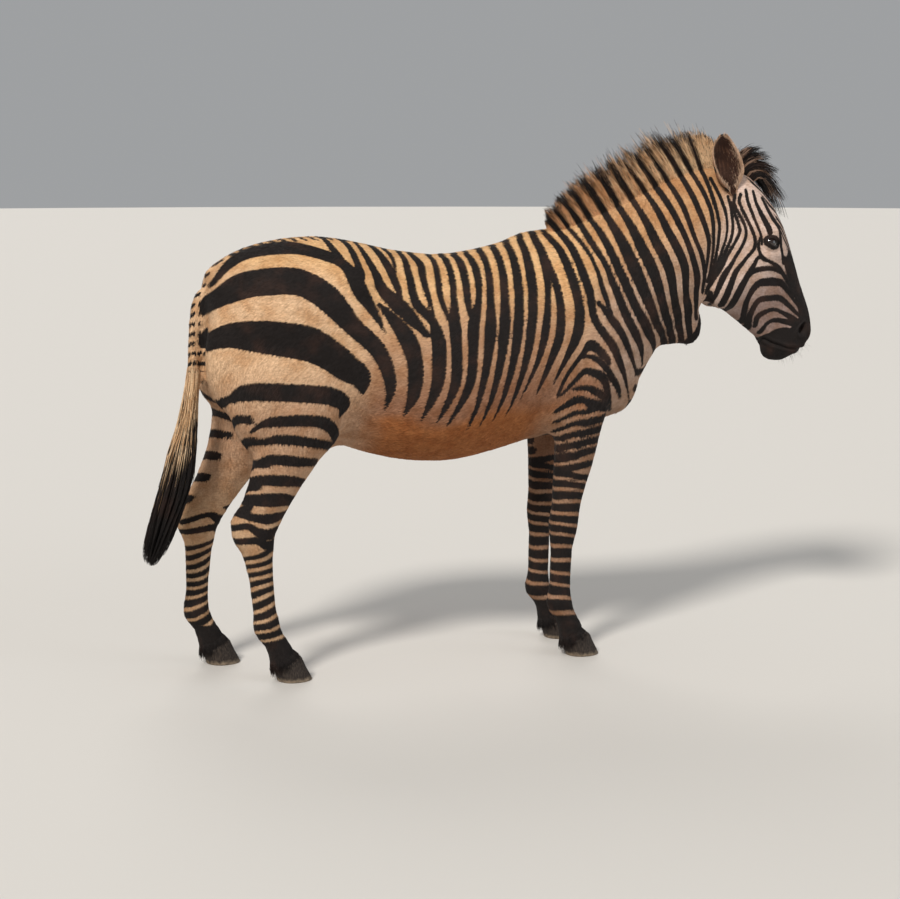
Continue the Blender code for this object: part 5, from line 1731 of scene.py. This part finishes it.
wave = 0.004 * np.sin(9.0 * rows + angle[:, None] * 3.0) * rows
pull = out[:, None] * (0.45 + 0.55 * ramp(rows, 0.0, 0.25))
wide = np.maximum(pull, 0.90 + 0.14 * ramp(rows, 0.0, 0.10))
pull = np.where(on_dock[:, None] & (z > top - 0.01), wide, pull)
x = middle + half_x * pull * np.cos(swing) + wave
y = half_y * pull * np.sin(swing) + 0.5 * wave
paths = np.stack([x, y, z], axis=-1)
radii = np.full((TAIL_STRANDS, TAIL_ROWS), TAIL_THICK) * (1 - 0.65 * rows ** 3)
radii[on_dock] *= 0.45 + 0.55 * ramp(rows, 0.0, 0.22)
turning = TAIL_TURNS_BLACK + rng.normal(0.0, 0.055, TAIL_STRANDS)[:, None] + 0.05 * np.cos(angle)[:, None]
tail_dark = (turning - z) * 0.12
tail_dark = np.where(((rng.random(TAIL_STRANDS) < 0.16) & ~on_dock)[:, None], 0.012, tail_dark)
tail_ground = blend((0.66, 0.45, 0.27), (0.80, 0.62, 0.42), rng.random(TAIL_STRANDS))
tail_ground = tail_ground[:, None].repeat(TAIL_ROWS, 1)
hair_piece("tail_brush", paths, radii, tail_dark, tail_ground, ("tail_tuft",))
print(TAIL_STRANDS, "tail strands, lowest", round(float(z.min()), 3))

# %% [markdown]
# ## Which way the hair lies
# Hair runs back along the barrel, down the quarters and legs, and down and back on the neck. On
# the face it runs from between the eyes towards the muzzle, and along the very ridge of the back a
# mountain zebra's hair runs forwards. The lie is a rule, worked out at any point from its place,
# then laid flat against the skin there, so the same rule combs every tuft.

# %% The lie of the coat
def lie_of(points, normals):
    """The way the hair lies at each point: steps of (x, z, share), each laid over the last."""
    x, y, z = points.T
    over_face = ramp(normals @ FOREHEAD_WAY, 0.20, 0.65) * ramp(x, 0.74, 0.80)
    under_belly = ramp(normals[:, 2], -0.55, -0.85) * (np.abs(x) < 0.40)
    on_ridge = ramp(np.abs(y), 0.040, 0.012) * ramp(normals[:, 2], 0.55, 0.80) * ramp(x, 0.22, 0.10)
    steps = (
        (-0.80, -0.60, ramp(x, -0.40, -0.55)),                        # croup
        (-0.40, -0.90, ramp(z, 1.00, 0.80) * ramp(x, -0.36, -0.48)),  # thigh
        (-0.25, -1.00, ramp(x, 0.05, 0.20) * ramp(z, 1.00, 0.80)),    # shoulder
        (-0.60, -0.80, ramp(x, 0.18, 0.36) * ramp(z, 0.80, 0.92)),    # foot of the neck
        (-0.25, -0.97, ramp(x, 0.42, 0.58)),                          # neck
        (0.00, -1.00, ramp(z, 0.72, 0.60)),                           # legs
        (-0.10, -1.00, ramp(x, 0.62, 0.72)),                          # cheek
        (0.50, -0.87, over_face),
        (-1.00, 0.00, under_belly),
        (1.00, 0.10, on_ridge),
        (-0.12, -1.00, ramp(x, -0.82, -0.84) * (np.abs(y) < 0.03)),   # dock
    )
    way = np.tile((-1.0, 0.0, -0.30), (len(x), 1))
    for dx, dz, share in steps:
        way = blend(way, (dx, 0.0, dz), share)
    swirl = 0.22 * np.sin(7.0 * x + 5.0 * z + 2.0 * np.sign(y)) + 0.12 * np.sin(19.0 * z - 13.0 * x)
    way = way + np.cross(normals, way) * swirl[:, None]
    way -= normals * np.einsum("nk,nk->n", way, normals)[:, None]
    return unit(way)


def tuft_size(points):
    """Length and width of a tuft: longest on belly and quarters, smallest by eyes and lips."""
    x, _, z = points.T
    length = 0.0135 + 0.002 * ramp(z, 0.85, 0.72) * (np.abs(x) < 0.4)
    length = length + (0.0085 - length) * np.maximum(ramp(z, 0.70, 0.50), ramp(x, 0.40, 0.60))
    face = ramp(x + 0.25 * (1.15 - z), 0.62, 0.74)
    length = length + (0.0072 - length) * face
    by_lips = ramp(x - 0.35 * (z - 0.9), 0.84, 0.92) * (z < 1.0)
    fine = np.maximum(by_lips, ramp(eye_distance(points), 0.055, 0.028))
    length = length + (0.0038 - length) * fine * face
    width = length * (0.27 + 0.03 * face)
    return length, width


print("lie at the flank", lie_of(np.array([[0.0, 0.2, 1.0]]), np.array([[0.0, 1.0, 0.0]])).round(2)[0])

# %% [markdown]
# ## The coat itself
# Short flat hair reads as a surface, but its edge against the light breaks into points, and stripe
# edges are hair by hair. So the skin is thatched with a quarter of a million thin closed spikes of
# four triangles: a sunk root, a low back and a sharp tip. Each takes its ground colour from its
# root, and its tip takes the darkness found half its length ahead. Particle hair would look finer
# but can't be kept as mesh, and sheets of alpha cards would show their edges from the side.

# %% Thatch the skin with tufts
TUFTS = 268_000
ROOT_SINK = 0.0007
TUFT_BACK = 0.0009
MOST_IN_A_PIECE = 48_000
BACK_PLACE = 0.40            # how far along a tuft its back is highest
CORNER_TONES = (0.93, 0.93, 1.0, 1.08)    # a tuft is darker at its root than at its tip
BAKE_PATCH = 0.0015          # half width of a tuft's patch on the map

skin_owner = owner_of(skin_points)


def unwrap(item):
    """Lay the piece flat in pieces that face about the same way, as the map OFBake."""
    item.data.uv_layers.new(name="OFBake")
    for other in bpy.context.selected_objects:
        other.select_set(False)
    bpy.context.view_layer.objects.active = item
    item.select_set(True)
    bpy.ops.object.mode_set(mode="EDIT")
    bpy.ops.mesh.select_all(action="SELECT")
    bpy.ops.uv.smart_project(angle_limit=math.radians(66), island_margin=0.002)
    bpy.ops.object.mode_set(mode="OBJECT")


def region_map(faces):
    """The unwrap of some of the skin's triangles, as an array of faces by corners by 2."""
    item = link_object("unwrap_source", mesh_from("unwrap_source", skin_points, faces))
    unwrap(item)
    spots = np.empty(len(item.data.loops) * 2, dtype=np.float32)
    item.data.uv_layers["OFBake"].data.foreach_get("uv", spots)
    bpy.data.objects.remove(item)
    return spots.reshape(-1, 3, 2)


def nostril_oval(points):
    """Below 1 inside the pit of a nostril, about 1.5 on its rim."""
    return np.linalg.norm((to_left(points) - NOSTRIL) / (0.011, 0.012, 0.017), axis=1)


def bare(points):
    """True where no hair grows or none could be seen."""
    under_hoof = points[:, 2] < coronet_height(points) - 0.004
    in_mouth = (mouth_distance(points) < 0.003) & (points[:, 0] > 0.85)
    on_eye = eye_distance(points) < EYE_RADIUS + 0.0022
    return under_hoof | in_mouth | on_eye | (nostril_oval(points) < 0.9)


def tuft_piece(name, chosen_faces, count):
    faces = skin_faces[chosen_faces]
    flat = region_map(faces)
    a, b, c = (skin_points[faces[:, k]] for k in range(3))
    middles = (a + b + c) / 3
    length, width = tuft_size(middles)
    pick, shares = draw_spots(areas(a, b, c) / (length * width) * ~bare(middles), count)
    corners = faces[pick]
    roots = from_corners(skin_points, corners, shares)
    normals = unit(from_corners(skin_normals, corners, shares))
    ground = from_corners(skin_ground, corners, shares)
    length, width = tuft_size(roots)
    length = length * rng.uniform(0.75, 1.25, count)
    way = lie_of(roots, normals)
    beside = np.cross(normals, way)
    way = unit(way + beside * rng.normal(0.0, 0.16, count)[:, None])
    beside = np.cross(normals, way)
    lift = length * rng.uniform(0.05, 0.17, count)
    dark = darkness(roots, normals)
    ahead = darkness(roots + way * (0.5 * length)[:, None], normals)
    left = roots + beside * (width / 2)[:, None] - normals * ROOT_SINK
    right = roots - beside * (width / 2)[:, None] - normals * ROOT_SINK
    back = roots + way * (BACK_PLACE * length)[:, None] + normals * (TUFT_BACK * length / 0.012)[:, None]
    tip = roots + way * length[:, None] + normals * lift[:, None]
    points = np.stack([left, right, back, tip], axis=1).reshape(-1, 3)
    spike = np.array([(0, 3, 1), (0, 1, 2), (1, 3, 2), (2, 3, 0)])
    shapes = (spike[None] + 4 * np.arange(count)[:, None, None]).reshape(-1, 3)
    mesh = mesh_from(name, points, shapes)
    shine = rng.normal(1.0, 0.09, count)[:, None, None] * np.array(CORNER_TONES)[None, :, None]
    paint(
        mesh,
        np.stack([dark, dark, (dark + ahead) / 2, ahead], axis=1).ravel(),
        np.clip(ground[:, None, :] * shine, 0.0, 1.0).reshape(-1, 3),
    )
    centre = np.einsum("nk,nkd->nd", shares, flat[pick])
    spot = BAKE_PATCH * np.array([(-1.0, -1.0), (1.0, -1.0), (0.0, 0.0), (0.0, 1.0)])
    layer = mesh.uv_layers.new(name="OFBake")
    patches = centre[:, None] + spot[spike.ravel()][None]
    layer.data.foreach_set("uv", patches.astype(np.float32).ravel())
    mesh.materials.append(TUFT_COAT)
    mesh.shade_smooth()
    tilt = unit(normals + 0.22 * way + rng.normal(0.0, 0.10, normals.shape))
    corner_tilt = np.stack([tilt + 0.30 * beside, tilt - 0.30 * beside, tilt, tilt + 0.15 * way], axis=1)
    mesh.normals_split_custom_set_from_vertices(unit(corner_tilt).reshape(-1, 3))
    item = link_object(name, mesh)
    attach(item, "root")
    return count


TUFT_COAT = coat_material("coat_tufts", 0.10, 0.10)
middles = skin_points[skin_faces].mean(axis=1)
owner = skin_owner[skin_faces[:, 0]]
leg = np.char.find(owner, "leg") >= 0
REGIONS = {
    "head": owner == "head",
    "neck": (owner == "neck") & (middles[:, 1] < 0),
    "neck_left": (owner == "neck") & (middles[:, 1] >= 0),
    "barrel": (owner == "trunk") & (middles[:, 1] < 0),
    "barrel_left": (owner == "trunk") & (middles[:, 1] >= 0),
    "quarter": (owner == "hindquarters") & (middles[:, 1] < 0) | (owner == "tail_dock"),
    "quarter_left": (owner == "hindquarters") & (middles[:, 1] >= 0),
    "forelegs": leg & (middles[:, 0] > 0),
    "hindlegs": leg & (middles[:, 0] < 0),
}


def hair_demand(face_numbers):
    a, b, c = (skin_points[skin_faces[face_numbers, k]] for k in range(3))
    length, width = tuft_size((a + b + c) / 3)
    return float((areas(a, b, c) / (length * width)).sum())


demands = {key: hair_demand(np.flatnonzero(mask)) for key, mask in REGIONS.items()}
scale = TUFTS / sum(demands.values())
print("coverage", round(scale / 2, 2), {key: int(value * scale) for key, value in demands.items()})
made = 0
for key, mask in REGIONS.items():
    share_of_tufts = min(int(demands[key] * scale), MOST_IN_A_PIECE)
    made += tuft_piece(f"coat_{key}", np.flatnonzero(mask), share_of_tufts)
for name in ("skin", "ear_cup_right", "ear_cup_left", "lid_rims_right", "lid_rims_left"):
    unwrap(bpy.data.objects[name])
print(made, "tufts in", len(REGIONS), "pieces")

# %% [markdown]
# ## Fine hair: lashes, whiskers, ears and coronets
# Some hair stands clear of the coat: stiff lashes on the upper lid, a few long feelers on lips and
# chin, soft hair in and around the ears, and a fringe that hangs over the top of each hoof. All are
# the same tapering tubes as the mane, made by one helper that takes a root, a direction, a length
# and a bend, so only where and which way they grow is said here.

# %% Lashes, whiskers, ear hair and hoof fringes
def curved_hairs(spots, ways, lengths, bends, thick, rows=5):
    """Hairs from spots along ways, bending by bends. All but thick are arrays with a row per hair."""
    share = np.linspace(0.0, 1.0, rows)[None, :, None]
    reach = lengths[:, None, None]
    run = ways[:, None] * share + bends[:, None] * share ** 2
    paths = spots[:, None] - 0.001 * ways[:, None] + reach * run
    return paths, thick * (1 - 0.80 * share[0, :, 0] ** 1.5)[None].repeat(len(spots), 0)


def plain_hairs(name, paths, radii, dark, colour):
    count, rows, _ = paths.shape
    ground = np.broadcast_to(np.asarray(colour), (count, rows, 3))
    hair_piece(name, paths, radii, np.full((count, rows), dark), ground)


def lashes(sign, count=70):
    share = np.linspace(-0.80, 0.92, count) + rng.normal(0, 0.006, count)
    outward, along, up = eye_axes(sign)
    top, _ = almond_edge(share)
    upper = on_ball(sign, share * ALMOND_HALF, top, EYE_RADIUS + 0.0028)
    fan = unit(outward + 0.55 * share[:, None] * along + rng.normal(0, 0.08, (count, 3)) - 0.10 * up)
    long = 0.0135 + 0.004 * np.cos(share * 1.6) + rng.normal(0, 0.001, count)
    return curved_hairs(upper, fan, long, np.tile(-0.22 * up, (count, 1)), 0.00030)


def whiskers(sign):
    """Feelers on lips and chin, rooted on the skin."""
    count = 44
    x = np.concatenate([rng.uniform(0.885, 1.005, 36), rng.uniform(0.92, 0.98, 8)])
    z = np.concatenate([rng.uniform(0.845, 0.905, 36), rng.uniform(0.835, 0.850, 8)])
    y = np.concatenate([rng.uniform(0.02, 0.05, 36), rng.uniform(0.0, 0.03, 8)]) * sign
    found = [skin_tree.find_nearest(Vector(p)) for p in np.stack([x, y, z], axis=1)]
    spots = np.array([f[0] for f in found])
    normals = np.array([f[1] for f in found])
    ways = unit(normals + rng.normal(0, 0.22, (count, 3)) + np.array((0.10, 0.0, -0.25)))
    bends = rng.normal(0, 0.10, (count, 3)) + np.array((0.0, 0.0, -0.12))
    return curved_hairs(spots, ways, rng.uniform(0.010, 0.030, count), bends, 0.00026)


def ear_hairs(sign, count, inside):
    """Hair on an ear: short on the back, longer and looser inside and along the edge."""
    v = rng.uniform(0.10, 0.99, count)
    u = np.sin(rng.uniform(-1, 1, count) * math.pi / 2) if inside else rng.uniform(-1, 1, count)
    place, inward, wall, folds, along = ear_sheet(sign, u, v)
    face = 1.0 if inside else -1.0
    lift = (wall / 2 + (folds if inside else 0.0))[:, None]
    spots = place + face * inward * (lift - 0.0004)
    outwards = unit(face * inward * (0.30 if inside else 0.14) + along + rng.normal(0, 0.12, (count, 3)))
    long = rng.uniform(0.006, 0.012, count) * (1.0 + 0.8 * (inside and 1.0) * np.abs(u)) * (1.1 - 0.5 * v)
    dark, ground = ear_colours(u, v, np.full(count, 1.0 if inside else 0.0))
    if inside:
        pale = ramp(np.abs(u) + rng.normal(0.0, 0.22, count), 0.55, 0.85)
        ground = blend(ground, (0.62, 0.44, 0.32), pale)
    paths, radii = curved_hairs(spots, outwards, long, -0.1 * face * inward, 0.00050, rows=3)
    return paths, radii, dark, ground


def fringe(place, count=700):
    """Hair that hangs over the top of a hoof, longest at the heel."""
    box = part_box(f"hoof_{place}")
    middle = np.array((box[0][0] + CORONET_FRONT * HEEL_SHARE, (box[0][1] + box[1][1]) / 2))
    angle = rng.uniform(0, 2 * math.pi, count)
    aim = np.stack([np.cos(angle), np.sin(angle), 0 * angle], axis=1)
    edge = np.stack([middle[0] + 0.040 * aim[:, 0], middle[1] + 0.040 * aim[:, 1], 0 * angle], axis=1)
    edge[:, 2] = coronet_height(edge) + rng.uniform(0.004, 0.016, count)
    spots, ways = [], []
    for start, direction in zip(edge, aim):
        axis = Vector((middle[0], middle[1], start[2]))
        hit, normal, _, _ = skin_tree.ray_cast(axis + Vector(direction) * 0.12, -Vector(direction))
        if hit is None:
            continue
        spots.append(hit)
        ways.append(Vector((0.10, 0.0, -1.0)) + normal * (0.48 + 0.40 * direction[0]))
    spots, ways = np.array(spots), unit(np.array(ways) + rng.normal(0, 0.06, (len(ways), 3)))
    heel = ramp(middle[0] - spots[:, 0], -0.01, 0.03)
    long = rng.uniform(0.018, 0.028, len(spots)) * (1 + 0.3 * heel)
    droop = rng.normal(0, 0.04, (len(spots), 3)) + (0.0, 0.0, -0.10)
    return curved_hairs(spots, ways, long, droop, 0.00085, rows=4)


for side, sign in SIDES.items():
    plain_hairs(f"lashes_{side}", *lashes(sign), 0.015, (0.05, 0.03, 0.02))
    plain_hairs(f"whiskers_{side}", *whiskers(sign), 0.010, (0.20, 0.14, 0.10))
    for part, count, inside in (("lining", 1500, True), ("back", 2600, False)):
        paths, radii, dark, ground = ear_hairs(sign, count, inside)
        tone = ground * rng.normal(1.0, 0.12, (len(ground), 1))
        dark, tone = (np.repeat(values[:, None], 3, 1) for values in (dark, tone))
        hair_piece(f"ear_{part}_{side}", paths, radii, dark, tone)
for place in HOOF_PLACES:
    plain_hairs(f"fringe_{place}", *fringe(place), 0.015, (0.10, 0.06, 0.04))
print("fine hair done")
